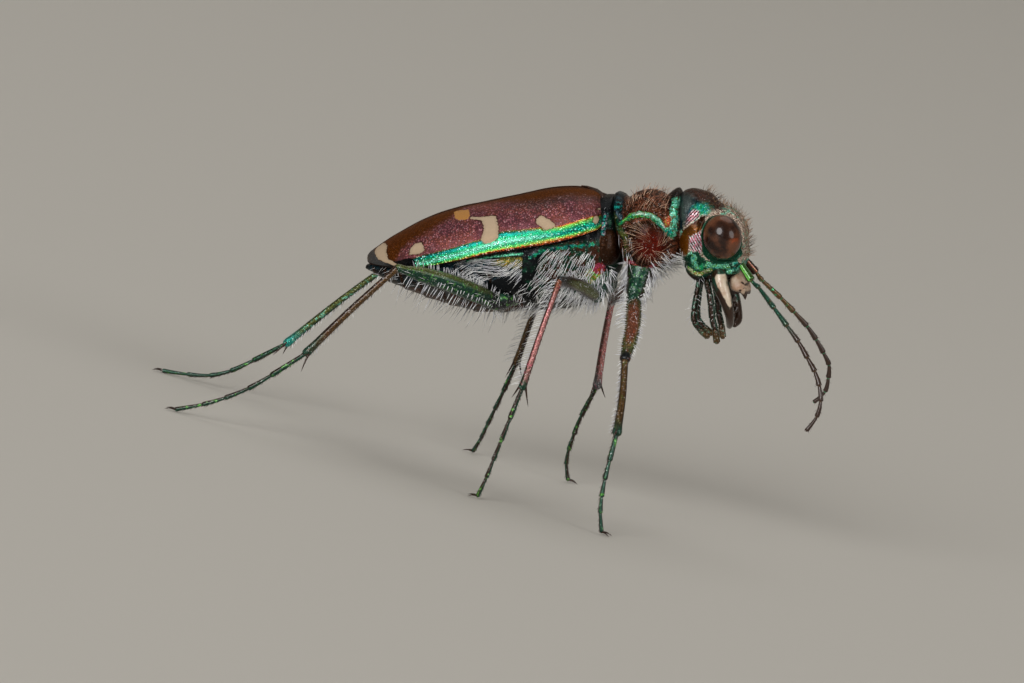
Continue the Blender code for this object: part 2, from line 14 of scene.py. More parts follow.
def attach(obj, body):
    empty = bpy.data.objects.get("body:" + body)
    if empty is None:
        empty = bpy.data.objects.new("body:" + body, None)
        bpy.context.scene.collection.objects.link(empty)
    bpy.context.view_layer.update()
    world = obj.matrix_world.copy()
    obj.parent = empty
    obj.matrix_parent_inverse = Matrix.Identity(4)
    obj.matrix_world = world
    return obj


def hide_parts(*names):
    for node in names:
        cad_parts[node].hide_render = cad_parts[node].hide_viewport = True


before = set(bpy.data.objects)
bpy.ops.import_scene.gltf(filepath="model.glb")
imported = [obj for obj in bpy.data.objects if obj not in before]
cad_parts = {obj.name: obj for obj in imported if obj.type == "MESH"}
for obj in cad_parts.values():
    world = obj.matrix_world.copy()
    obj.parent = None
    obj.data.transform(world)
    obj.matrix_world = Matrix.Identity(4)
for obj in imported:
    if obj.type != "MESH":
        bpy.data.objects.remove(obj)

bl_info = {
    "name": "Tiger Beetle",
    "version": (1, 0, 0),
    "blender": (4, 5, 0),
    "location": "3D View > Sidebar > Beetle",
    "description": "Builds a tiger beetle at life size, piece by piece, with its stage",
    "category": "Object",
}

MM = 0.001
RIGHT, LEFT = -1, 1
SIDES = {"right": RIGHT, "left": LEFT}
SIDE_NAMES = {RIGHT: "right", LEFT: "left"}

# How the level body stands over the floor, as in the frame
BODY_PITCH = math.radians(15.9)
WAIST = np.array((2.06, 0.0, 9.51))
TO_MIDDLE = np.array((0.79, 0.03, 0.0))

# Wing cases: way back, height of the side edge, height of the crown, half width
CASE_ORIGIN = np.array((-0.05, 0.0, 0.17))
CASE_SLOPE = math.radians(10.5)
CASE_ROWS = (
    (0.00, 0.12, 1.08, 1.25), (0.15, 0.02, 1.24, 1.72), (0.45, -0.03, 1.40, 1.95),
    (1.00, -0.09, 1.55, 2.12), (1.80, -0.13, 1.63, 2.25), (2.90, -0.11, 1.61, 2.38),
    (4.10, -0.08, 1.59, 2.46), (5.10, -0.10, 1.56, 2.44), (6.10, -0.10, 1.42, 2.27),
    (6.90, -0.03, 1.19, 1.95), (7.50, 0.08, 0.98, 1.52), (8.00, 0.20, 0.76, 1.02),
    (8.30, 0.29, 0.62, 0.60), (8.43, 0.36, 0.50, 0.24),
)
CASE_ARC = 3.3

# Trunk pieces: place of the back line, place of the belly line, half width, belt height
MESOTHORAX_ROWS = (
    ((0.32, 0.92), (0.46, -0.80), 0.80, 0.0), ((0.20, 1.20), (0.44, -1.16), 1.16, -0.1),
    ((0.00, 1.24), (0.20, -1.62), 1.42, -0.1), ((-0.28, 1.21), (-0.20, -2.14), 1.62, -0.1),
)
METATHORAX_ROWS = (
    ((-0.20, 1.21), (-0.10, -2.06), 1.58, -0.1), ((-0.45, 1.18), (-0.40, -2.32), 1.74, -0.1),
    ((-0.90, 1.10), (-0.90, -2.56), 1.98, 0.0), ((-1.60, 0.90), (-1.60, -2.68), 2.13, 0.1),
    ((-2.30, 0.72), (-2.40, -2.72), 2.18, 0.2), ((-2.62, 0.62), (-2.90, -2.74), 2.18, 0.25),
)
ABDOMEN_ROWS = (
    ((-2.40, 0.62), (-2.66, -2.68), 2.07, 0.3), ((-2.75, 0.60), (-3.02, -2.74), 2.15, 0.3), ((-3.60, 0.45), (-3.80, -2.80), 2.16, 0.3),
    ((-4.40, 0.25), (-4.60, -2.77), 2.14, 0.3), ((-5.20, 0.05), (-5.40, -2.56), 2.05, 0.3),
    ((-6.00, -0.20), (-6.20, -2.30), 1.90, 0.3), ((-6.80, -0.50), (-7.00, -2.00), 1.60, 0.3),
    ((-7.50, -0.85), (-7.65, -1.70), 1.22, 0.3), ((-8.05, -1.05), (-8.15, -1.46), 0.78, 0.2),
    ((-8.42, -1.14), (-8.46, -1.32), 0.34, 0.0),
)
PROTHORAX_ROWS = (
    ((0.18, 1.18), (0.46, -0.70), 1.08, 0.2), ((0.28, 1.31), (0.50, -1.00), 1.27, 0.2),
    ((0.52, 1.26), (0.64, -1.20), 1.36, 0.1), ((0.74, 1.19), (0.80, -1.38), 1.44, 0.0),
    ((1.09, 1.37), (1.05, -1.52), 1.56, -0.1), ((1.54, 1.41), (1.50, -1.52), 1.58, -0.1),
    ((1.92, 1.28), (1.90, -1.34), 1.46, -0.1), ((2.12, 1.30), (2.15, -1.18), 1.30, 0.0),
    ((2.40, 1.45), (2.42, -1.05), 1.24, 0.1), ((2.50, 1.34), (2.50, -0.92), 1.10, 0.1),
)
HEAD_ROWS = (
    ((2.34, 0.90), (2.35, -0.60), 0.80, 0.0), ((2.50, 1.22), (2.52, -0.98), 1.02, 0.0),
    ((2.66, 1.38), (2.60, -1.24), 1.14, 0.1), ((3.02, 1.42), (2.70, -1.52), 1.26, 0.1),
    ((3.50, 1.26), (2.92, -1.72), 1.32, 0.1), ((3.84, 0.97), (3.20, -1.84), 1.28, 0.1),
    ((4.29, 0.78), (3.50, -1.86), 1.20, 0.2), ((4.60, 0.48), (3.80, -1.82), 1.14, 0.2),
    ((4.74, 0.05), (4.08, -1.74), 1.08, 0.1), ((4.77, -0.45), (4.28, -1.64), 1.00, 0.0),
    ((4.73, -0.92), (4.40, -1.54), 0.88, 0.0), ((4.64, -1.22), (4.46, -1.45), 0.62, 0.0),
)
LABRUM_ROWS = (
    ((4.50, -1.44), (4.16, -1.60), 0.60, 0.0), ((4.70, -1.70), (4.14, -1.84), 0.76, 0.0),
    ((4.82, -1.96), (4.20, -2.03), 0.80, 0.0), ((4.80, -2.18), (4.44, -2.12), 0.64, 0.0),
)
EYE_CENTRE = np.array((4.01, 1.26, -0.16))
EYE_RADII = np.array((0.66, 0.64, 0.76))
EYE_LEAN = math.radians(-9.0)

# Mouthparts of the left side, mirrored for the right: place and radius
MANDIBLE_LINE = (
    (3.92, 0.66, -1.30, 0.32), (4.00, 0.88, -1.80, 0.33), (4.12, 0.98, -2.30, 0.27),
    (4.26, 0.86, -2.78, 0.20), (4.32, 0.54, -3.12, 0.16), (4.30, 0.24, -3.28, 0.12),
)
MANDIBLE_TEETH = (
    ((4.16, 0.86, -2.42), (4.14, 0.30, -2.46)), ((4.26, 0.78, -2.80), (4.24, 0.30, -2.86)),
)
# How far each jaw's middle line lies ahead of that line: the left one crosses before the right
MANDIBLE_SHIFT = {RIGHT: (-0.10, -0.12, -0.06, -0.09, -0.15, -0.19), LEFT: (0.0, 0.0, 0.0, 0.01, 0.02, -0.07)}
MANDIBLE_FACE = (
    (3.72, -1.57), (3.80, -1.45), (4.06, -1.45), (4.11, -1.51), (4.12, -1.76), (4.25, -2.16), (4.29, -2.49),
    (4.23, -2.63), (4.07, -2.26), (3.84, -1.88),
)
MAXILLARY_PALP = (
    (3.40, 0.72, -1.70), (3.52, 0.98, -2.10), (3.58, 1.04, -2.52), (3.62, 1.04, -2.96),
    (3.70, 1.02, -3.34), (3.76, 0.98, -3.80),
)
LABIAL_PALP = (
    (3.10, 0.34, -1.72), (3.02, 0.42, -2.20), (2.94, 0.52, -2.74), (2.95, 0.58, -3.10),
    (3.14, 0.58, -3.38), (3.42, 0.58, -3.64),
)

# Antennae: the root and the ends of the eleven segments, in the level frame
ANTENNA_JOINTS = {
    RIGHT: (
        (4.40, -0.68, -0.84), (4.98, -0.98, -1.68), (5.24, -1.10, -1.92), (5.80, -1.50, -2.59),
        (6.26, -1.78, -3.17), (6.66, -2.00, -3.69), (6.98, -2.20, -4.22), (7.24, -2.36, -4.67),
        (7.40, -2.50, -5.15), (7.45, -2.60, -5.67), (7.31, -2.65, -6.19), (6.96, -2.68, -6.66),
    ),
    LEFT: (
        (4.40, 0.68, -0.84), (4.93, 0.98, -1.56), (5.14, 1.08, -1.84), (5.73, 1.50, -2.48),
        (6.15, 1.78, -2.98), (6.58, 2.00, -3.50), (6.87, 2.20, -3.98), (7.11, 2.36, -4.46),
        (7.28, 2.50, -4.89), (7.25, 2.60, -5.36), (7.12, 2.65, -5.84), (6.73, 2.68, -6.21),
    ),
}

# Legs where they stand: root, end of the trochanter, knee, end of the shin, joints of the foot
LEGS = {
    ("front", RIGHT): (
        (3.25, -0.85, 8.50), (3.58, -1.25, 7.65), (4.00, -3.00, 5.72), (4.54, -4.55, 3.41),
        (4.57, -4.85, 2.45), (4.60, -5.00, 1.82), (4.66, -5.10, 1.24), (4.77, -5.16, 0.70),
        (4.98, -5.20, 0.09),
    ),
    ("front", LEFT): (
        (3.30, 0.85, 8.60), (3.60, 1.25, 7.80), (2.48, 3.00, 6.86), (2.68, 4.00, 3.68),
        (2.39, 4.30, 2.46), (2.30, 4.45, 1.74), (2.25, 4.60, 1.14), (2.30, 4.70, 0.62),
        (2.50, 4.75, 0.09),
    ),
    ("middle", RIGHT): (
        (2.15, -0.90, 8.10), (2.39, -1.45, 7.32), (1.28, -4.35, 7.88), (1.05, -4.78, 4.03),
        (0.93, -4.92, 2.90), (0.85, -5.00, 2.12), (0.77, -5.05, 1.40), (0.70, -5.10, 0.78),
        (0.58, -5.12, 0.09),
    ),
    ("middle", LEFT): (
        (2.18, 0.90, 8.20), (2.40, 1.45, 7.42), (0.02, 4.10, 7.52), (-0.34, 4.62, 3.60),
        (-0.54, 4.80, 2.48), (-0.68, 4.90, 1.76), (-0.80, 5.00, 1.16), (-0.90, 5.05, 0.64),
        (-1.06, 5.10, 0.09),
    ),
    ("hind", RIGHT): (
        (-0.30, -0.95, 6.72), (-0.86, -1.75, 6.24), (-4.18, -4.25, 6.74), (-6.40, -4.65, 3.12),
        (-7.36, -4.80, 2.06), (-7.98, -4.88, 1.44), (-8.66, -4.95, 0.92), (-9.34, -5.02, 0.50),
        (-10.18, -5.08, 0.09),
    ),
    ("hind", LEFT): (
        (-0.24, 0.95, 6.80), (-0.84, 1.75, 6.33), (-5.27, 2.90, 6.05), (-8.21, 3.30, 2.21),
        (-9.22, 3.32, 1.28), (-9.89, 3.28, 0.72), (-10.55, 3.22, 0.38), (-11.34, 3.20, 0.20),
        (-12.20, 3.18, 0.09),
    ),
}
# Half thickness of femur (thickest, at the knee), shin (middle, end) and foot
LEG_RADII = {
    "front": (0.275, 0.185, 0.125, 0.17, 0.085),
    "middle": (0.215, 0.13, 0.105, 0.145, 0.082),
    "hind": (0.315, 0.14, 0.115, 0.155, 0.085),
}


def sighted(red, green, blue):
    """Shader values of a colour that is given as it looks on a screen, from 0 to 255."""
    return tuple((v / 255 / 12.92) if v < 11 else ((v / 255 + 0.055) / 1.055) ** 2.4 for v in (red, green, blue))


# Shapes of pieces by name, which the bristles are planted on
SKINS = {}


def through(rows, at):
    """A smooth curve through rows of numbers, at places counted in rows."""
    rows = np.asarray(rows, float)
    last = len(rows) - 1
    low = np.clip(np.floor(at).astype(int), 0, last - 1)
    t = (at - low)[..., None]
    a, b, c, d = (rows[np.clip(low + k, 0, last)] for k in (-1, 0, 1, 2))
    return 0.5 * (2 * b + (c - a) * t + (2 * a - 5 * b + 4 * c - d) * t**2 + (3 * b - a - 3 * c + d) * t**3)


def smooth(value, low, high):
    t = np.clip((value - low) / (high - low), 0, 1)
    return t * t * (3 - 2 * t)


def hump(value, width):
    return np.exp(-((value / width) ** 2))


def rounded(value, power):
    return np.sign(value) * np.abs(value) ** power


def unit(vectors):
    return vectors / np.maximum(np.linalg.norm(vectors, axis=-1, keepdims=True), 1e-9)


def distance(flat, line, closed=False):
    """How far points of a plane are from a line through corners."""
    corners = [np.array(c, float) for c in line]
    ends = corners[1:] + (corners[:1] if closed else [])
    best = np.full(flat.shape[:-1], 1e9)
    for start, end in zip(corners, ends):
        way = end - start
        t = np.clip(((flat - start) @ way) / (way @ way), 0, 1)
        best = np.minimum(best, np.linalg.norm(flat - start - t[..., None] * way, axis=-1))
    return best


def outside(flat, outline):
    """How far points of a plane are outside an outline, with less than nothing inside it."""
    inside = np.zeros(flat.shape[:-1], bool)
    x, y = flat[..., 0], flat[..., 1]
    for (x0, y0), (x1, y1) in zip(outline, outline[1:] + outline[:1]):
        crosses = (y0 > y) != (y1 > y)
        inside ^= crosses & (x < (x1 - x0) * (y - y0) / ((y1 - y0) or 1e-9) + x0)
    away = distance(flat, outline, closed=True)
    return np.where(inside, -away, away)


def oval(flat, centre, radii):
    """How far points of a plane are outside an oval, with less than nothing inside it."""
    return (np.linalg.norm((flat - centre) / radii, axis=-1) - 1) * min(radii)


def grain(points, size, seed):
    """Soft random values from -1 to 1 that change over about `size` millimetres."""
    table = np.random.default_rng(seed).uniform(-1, 1, (32, 32, 32))
    at = points / size + 200.0
    low = np.floor(at).astype(int)
    t = at - low
    t = t * t * (3 - 2 * t)
    total = 0
    for step in np.ndindex(2, 2, 2):
        weight = np.prod(np.where(step, t, 1 - t), axis=-1)
        x, y, z = np.moveaxis((low + step) % 32, -1, 0)
        total = total + weight * table[x, y, z]
    return total


class Skin:
    """Rows and columns of points in millimetres, from which a shell plate or a limb is made.

    `around` says that the last column meets the first, and `level` that the points are in the
    body's level frame. `fields` holds a number for each point, such as the distance to a marking.
    """

    def __init__(self, points, around=True, level=True):
        self.points = np.array(points, float)
        self.around, self.level, self.facing = around, level, 1.0
        self.fields = {}
        middle = self.points.mean(axis=1, keepdims=True)
        self.facing = math.copysign(1.0, (self.normals() * (self.points - middle)).sum())

    @property
    def side(self):
        """The points as seen from the side: along and up."""
        return self.points[..., (0, 2)]

    def normals(self, points=None):
        points = self.points if points is None else points
        if self.around:
            wide = np.concatenate((points[:, -2:-1], points, points[:, 1:2]), axis=1)
            across = np.gradient(wide, axis=1)[:, 1:-1]
        else:
            across = np.gradient(points, axis=1)
        return self.facing * unit(np.cross(across, np.gradient(points, axis=0)))

    def push(self, amount):
        """Moves the surface outwards by an amount in millimetres at each point."""
        self.points = self.points + self.normals() * np.asarray(amount)[..., None]
        return self

    def placed(self):
        """The points in the standing frame."""
        if not self.level:
            return self.points + TO_MIDDLE
        return level_to_standing(self.points) + WAIST + TO_MIDDLE


def level_to_standing(ways):
    x, y, z = np.moveaxis(ways, -1, 0)
    cos, sin = math.cos(BODY_PITCH), math.sin(BODY_PITCH)
    return np.stack((x * cos - z * sin, y, x * sin + z * cos), -1)


def close_ends(points, bulge, steps=7):
    """Rows added at each end of a ring skin that close it in a low dome."""
    caps = []
    for ring, inner, height in ((points[0], points[2], bulge[0]), (points[-1], points[-3], bulge[1])):
        middle = ring.mean(axis=0)
        out = unit(middle - inner.mean(axis=0))
        rows = []
        for k in range(1, steps + 1):
            turn = math.pi / 2 * k / steps
            rows.append(middle + (ring - middle) * math.cos(turn) + out * height * math.sin(turn))
        rows[-1][:] = rows[-1].mean(axis=0)
        caps.append(rows)
    return np.concatenate((caps[0][::-1], points, caps[1]))


def trunk_skin(rows, count, columns, squareness=0.88, bulge=(0.0, 0.0)):
    """The skin of a trunk piece through its rows. Columns run from the belly up the left side."""
    table = np.array([(*top, *low, width, belt) for top, low, width, belt in rows])
    steps = np.linalg.norm(np.diff(table[:, :4], axis=0), axis=1)
    run = np.concatenate(([0], np.cumsum(steps)))
    at = np.interp(np.linspace(0, run[-1], count), run, np.arange(len(rows)))
    x_top, z_top, x_low, z_low, width, belt = through(table, at).T[..., None]
    angle = np.linspace(-math.pi / 2, 1.5 * math.pi, columns)[None]
    rise = rounded(np.sin(angle), squareness)
    rise = rise + belt * (1 - rise**2) * 0.6
    across = width * rounded(np.cos(angle), squareness)
    x = (x_top + x_low) / 2 + (x_top - x_low) / 2 * rise
    z = (z_top + z_low) / 2 + (z_top - z_low) / 2 * rise
    return Skin(close_ends(np.stack((x, across, z), -1), bulge))


def limb_skin(joints, at, radii, sides=18, outer=(0, 0, 1), flat=1.0, level=False):
    """The skin of a limb along a smooth line through its joints, at places counted in joints.

    Column 0 runs along the limb's outer side. `flat` is its width over its depth.
    """
    centre = through(joints, np.asarray(at, float))
    tangents = unit(np.gradient(centre, axis=0))
    radii = np.asarray(radii, float)
    side, rings = np.array(outer, float), []
    for point, tangent, radius in zip(centre, tangents, radii):
        side = unit(side - tangent * (side @ tangent))
        other = np.cross(tangent, side)
        turn = np.linspace(0, 2 * math.pi, sides + 1)[:, None]
        rings.append(point + radius * (side * np.cos(turn) + other * np.sin(turn) * flat))
    rings = np.array(rings)
    rings = close_ends(rings, (radii[0] * 0.5, radii[-1] * 0.7), 4)
    return Skin(rings, level=level)


def segment_places(count):
    """Places along a limb of segments, closest at its joints."""
    inside = (0.0, 0.02, 0.05, 0.10, 0.2, 0.35, 0.5, 0.65, 0.8, 0.9, 0.95, 0.98)
    return np.array([k + t for k in range(count) for t in inside] + [count])


def segment_radii(at, sizes, root=0.62, neck=0.5):
    """Each segment is narrow at its root, swells towards its end and is drawn in at the joint."""
    low = np.clip(np.floor(at + 1e-6).astype(int), 0, len(sizes) - 1)
    t = at - low
    shape = np.interp(t, (0, 0.02, 0.06, 0.2, 0.8, 0.92, 0.97, 1.0), (neck, root, root * 1.12, root * 1.2, 0.96, 1.0, 0.92, neck))
    return np.asarray(sizes, float)[low] * shape


def cone_skin(root, tip, radius, bend=(0, 0, 0), rows=9, sides=8, level=False):
    """A tooth, spur or claw that tapers to a point."""
    root, tip = np.array(root, float), np.array(tip, float)
    middle = (root + tip) / 2 + np.array(bend, float)
    at = np.linspace(0, 2, rows)
    radii = radius * np.clip(1 - (at / 2) ** 1.6, 0.04, 1)
    outer = (0, 0, 1) if abs(unit(tip - root)[2]) < 0.9 else (1, 0, 0)
    return limb_skin((root, middle, tip), at, radii, sides, outer, level=level)


def deselect():
    for item in bpy.context.selected_objects:
        item.select_set(False)


def grid_surface(skin, name):
    """A grid primitive shaped to a skin, closed where its sides or poles meet."""
    rows, columns = skin.points.shape[:2]
    deselect()
    bpy.ops.mesh.primitive_grid_add(x_subdivisions=columns - 1, y_subdivisions=rows - 1, size=1, calc_uvs=True)
    item = bpy.context.object
    item.name = name
    item.data.vertices.foreach_set("co", skin.placed().ravel())
    for field, values in skin.fields.items():
        kept = item.data.attributes.new(field, "FLOAT", "POINT")
        kept.data.foreach_set("value", np.ascontiguousarray(values, float).ravel())
    bpy.ops.object.mode_set(mode="EDIT")
    bpy.ops.mesh.select_all(action="SELECT")
    if skin.facing < 0:
        bpy.ops.mesh.flip_normals()
    bpy.ops.mesh.remove_doubles(threshold=0.0005)
    bpy.ops.object.mode_set(mode="OBJECT")
    return item


def settle(item, name, finish, nodes):
    """Turns a piece to metres, gives it its finish and puts it on the frame."""
    item.name = item.data.name = name
    item.data.transform(Matrix.Scale(MM, 4))
    item.data.materials.clear()
    item.data.materials.append(finish)
    item.data.shade_smooth()
    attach(item, "root")
    if nodes:
        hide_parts(*nodes)
    return item


def piece(name, skins, finish, nodes=(), wall=0.0):
    """One piece made from one skin or several, with a wall where its skins are open sheets."""
    parts = [grid_surface(skin, name) for skin in skins]
    deselect()
    for part in parts:
        part.select_set(True)
    bpy.context.view_layer.objects.active = parts[0]
    if len(parts) > 1:
        bpy.ops.object.join()
    item = bpy.context.object
    if wall:
        thick = item.modifiers.new("wall", "SOLIDIFY")
        thick.thickness = wall
        thick.offset = -1.0
        thick.use_even_offset = False
        bpy.ops.object.modifier_apply(modifier=thick.name)
    return settle(item, name, finish, nodes)


class Wire:
    """A value on its way between shader nodes. Arithmetic on it adds Math nodes."""

    def __init__(self, finish, socket):
        self.finish, self.socket = finish, socket

    def math(self, operation, *values):
        return self.finish.node("ShaderNodeMath", {"operation": operation}, dict(enumerate(values)))

    def __add__(self, other):
        return self.math("ADD", self, other)

    __radd__ = __add__

    def __sub__(self, other):
        return self.math("SUBTRACT", self, other)

    def __rsub__(self, other):
        return self.math("SUBTRACT", other, self)

    def __mul__(self, other):
        return self.math("MULTIPLY", self, other)

    __rmul__ = __mul__

    def __truediv__(self, other):
        return self.math("DIVIDE", self, other)


class Finish:
    """A procedural material. Its places are in millimetres, in the body's level frame."""

    def __init__(self, name, roughness=0.4, metallic=0.0, **constants):
        self.material = bpy.data.materials.new(name)
        self.material.use_nodes = True
        self.tree = self.material.node_tree
        self.shader = self.tree.nodes["Principled BSDF"]
        self.shader.inputs["Roughness"].default_value = roughness
        self.shader.inputs["Metallic"].default_value = metallic
        for socket, value in constants.items():
            self.shader.inputs[socket.replace("_", " ").title().replace("Ior", "IOR")].default_value = value
        shift = level_to_standing(np.zeros(3)) + WAIST + TO_MIDDLE
        cos, sin = math.cos(BODY_PITCH), math.sin(BODY_PITCH)
        back = (-(shift[0] * cos + shift[2] * sin), -shift[1], shift[0] * sin - shift[2] * cos)
        own = self.node("ShaderNodeTexCoord", output="Object")
        self.places = self.node("ShaderNodeMapping", {"vector_type": "POINT"}, {
            "Vector": own, "Scale": (1 / MM,) * 3, "Rotation": (0, BODY_PITCH, 0), "Location": back,
        })

    def node(self, kind, settings=None, inputs=None, output=0):
        """Adds a node of a kind. Its settings come first, then the values or wires of its sockets."""
        made = self.tree.nodes.new(kind)
        for key, value in (settings or {}).items():
            if key == "stops":
                ramp = made.color_ramp.elements
                while len(ramp) > 1:
                    ramp.remove(ramp[-1])
                ramp[0].position, ramp[0].color = value[0][0], (*value[0][1], 1)
                for place, colour in value[1:]:
                    ramp.new(place).color = (*colour, 1)
            else:
                setattr(made, key, value)
        for key, value in (inputs or {}).items():
            socket = made.inputs[key]
            if isinstance(value, Wire):
                self.tree.links.new(value.socket, socket)
            elif socket.type == "RGBA":
                socket.default_value = (*value, 1)
            else:
                socket.default_value = value
        return Wire(self, made.outputs[output])

    def noise(self, scale, detail=2.0):
        return self.node("ShaderNodeTexNoise", None, {"Vector": self.places, "Scale": scale, "Detail": detail})

    def cells(self, scale, output="Distance"):
        return self.node("ShaderNodeTexVoronoi", None, {"Vector": self.places, "Scale": scale}, output)

    def channel(self, colour, index):
        return self.node("ShaderNodeSeparateColor", None, {0: colour}, index)

    def field(self, name):
        return self.node("ShaderNodeAttribute", {"attribute_name": name}, None, "Fac")

    def map(self, axis):
        """The piece's own map: 0 across, 1 along."""
        own = self.node("ShaderNodeTexCoord", output="UV")
        return self.node("ShaderNodeSeparateXYZ", None, {0: own}, axis)

    def step(self, value, low, high):
        return self.node("ShaderNodeMapRange", {"interpolation_type": "SMOOTHSTEP"}, {0: value, 1: low, 2: high})

    def mix(self, factor, first, second):
        return self.node("ShaderNodeMix", {"data_type": "RGBA"}, {0: factor, 6: first, 7: second}, 2)

    def tint(self, colour, strength):
        """A colour made darker or lighter by a factor."""
        return self.node("ShaderNodeVectorMath", {"operation": "SCALE"}, {0: colour, "Scale": strength})

    def ramp(self, value, stops):
        return self.node("ShaderNodeValToRGB", {"stops": stops}, {0: value})

    def set(self, socket, value):
        if isinstance(value, Wire):
            self.tree.links.new(value.socket, self.shader.inputs[socket])
        else:
            target = self.shader.inputs[socket]
            target.default_value = (*value, 1) if target.type == "RGBA" else value

    def bump(self, height, depth):
        """Relief of a depth in millimetres."""
        relief = self.node("ShaderNodeBump", None, {"Strength": 1.0, "Distance": depth * MM, "Height": height})
        self.set("Normal", relief)


def tone(look, colour):
    """A colour as it is, or made by a function of the finish."""
    return colour(look) if callable(colour) else colour


def mottled(first, second, size=0.25, share=0.5):
    """Two colours in patches of about `size` millimetres, with a share of the second."""
    low = 0.64 - 0.28 * share
    return lambda look: look.mix(look.step(look.noise(1 / size, 3.0), low - 0.08, low + 0.08), tone(look, first), tone(look, second))


def striped(first, second, field):
    """Two colours in fine lines, one for each whole number of a field."""
    def made(look):
        phase = look.field(field).math("PINGPONG", look.field(field) + (look.noise(6.0) - 0.5) * 0.4, 0.5)
        return look.mix(look.step(phase, 0.16, 0.32), tone(look, first), tone(look, second))
    return made


def shifting(axis, low, high, first, second):
    """A colour that goes over to another along an axis of the body: 0 forward, 1 left, 2 up."""
    def made(look):
        place = look.node("ShaderNodeSeparateXYZ", None, {0: look.places}, axis) + (look.noise(4.0, 3.0) - 0.5) * 0.5
        return look.mix(look.step(place, low, high), tone(look, first), tone(look, second))
    return made


def plate_finish(name, ground, layers=(), granule=0.06, relief=0.012, painted_sparkle=0.3):
    """Finish of a metallic shell plate with fine granules, with painted glitter on them and painted pale glints on
    some.

    Each layer lies over those before it: field, colour, softness of its edge, how ragged the edge
    is, and how smooth its surface is from 0 to 1.
    """
    look = Finish(name, coat_weight=0.08, coat_roughness=0.12, specular_tint=(0.5, 0.46, 0.42, 1.0))
    dots = 1 - look.step(look.cells(1 / granule), 0.16, 0.62)
    chance = look.cells(1 / granule, "Color")
    speck = look.channel(chance, 0)
    waver = look.noise(5.0, 4.0) - 0.5
    colour = tone(look, ground)
    rough = 1.0
    for field, over, soft, ragged, smoothness in layers:
        reach = look.field(field) + waver * ragged + (speck - 0.5) * (ragged * 0.4)
        mask = 1 - look.step(reach, -soft, soft)
        colour = look.mix(mask, colour, tone(look, over))
        rough = rough * (1 - mask) + mask * (1 - smoothness)
    # Painted glitter: each granule lighter at its middle and darker at its rim, by a random amount, where the plate is
    # rough
    grains = dots * (0.3 + speck * 1.3)
    colour = look.tint(colour, 1 + (grains - 0.5) * rough * 0.9)
    # Painted glints: a paler, brighter copy of the colour on some granules
    bright = look.tint(look.mix(0.35, colour, (1.0, 1.0, 1.0)), 1.5)
    colour = look.mix(look.step(look.channel(chance, 1), 0.84, 0.97) * dots * rough * painted_sparkle, colour, bright)
    look.set("Base Color", colour)
    look.set("Metallic", 0.7)
    look.set("Roughness", 0.34 - 0.12 * (1 - rough) + look.noise(9.0) * 0.08)
    look.bump(dots * rough + look.noise(7.0, 3.0) * 0.8, relief)
    return look.material


def bristle_finish(name, colour, tip, roughness=0.38):
    """Finish of bristles: pale or brown keratin that varies from hair to hair."""
    look = Finish(name, roughness=roughness, specular_ior_level=0.6)
    shade = look.mix(look.step(look.noise(3.0, 1.0), 0.35, 0.65), colour, tip)
    look.set("Base Color", look.tint(shade, 0.86 + look.noise(11.0, 1.0) * 0.28))
    look.set("Roughness", roughness - 0.1 + look.noise(20.0, 1.0) * 0.2)
    return look.material


# A bristle's rings: place along it and thickness there
BRISTLE_RINGS = ((-0.05, 1.0), (0.35, 0.82), (0.7, 0.5))
BRISTLE_FACES = (
    [(0, 2, 1)]
    + [(3 * r + k, 3 * r + (k + 1) % 3, 3 * r + 3 + (k + 1) % 3, 3 * r + 3 + k) for r in (0, 1) for k in range(3)]
    + [(6 + k, 6 + (k + 1) % 3, 9) for k in range(3)]
)
MAP_PATCH = 0.003


def planted(skin, count, where, chance):
    """Roots, outward ways and map places of bristles spread over a skin where `where` is above 0."""
    points = skin.placed()
    normals = skin.normals()
    normals = level_to_standing(normals) if skin.level else normals
    area = np.linalg.norm(np.cross(points[:-1, 1:] - points[:-1, :-1], points[1:, :-1] - points[:-1, :-1]), axis=-1)
    weight = (area * np.clip(np.asarray(where, float), 0, None)[:-1, :-1]).ravel()
    run = np.cumsum(weight) / weight.sum()
    cell = np.searchsorted(run, (np.arange(count) + chance.random(count)) / count)
    row, column = np.divmod(np.clip(cell, 0, weight.size - 1), area.shape[1])
    u, v = chance.random((2, count, 1))

    def between(values):
        low = values[row, column] * (1 - u) + values[row, column + 1] * u
        high = values[row + 1, column] * (1 - u) + values[row + 1, column + 1] * u
        return low * (1 - v) + high * v

    place = np.stack(((column + u[:, 0]) / area.shape[1], (row + v[:, 0]) / area.shape[0]), -1)
    return between(points), unit(between(normals)), place, between


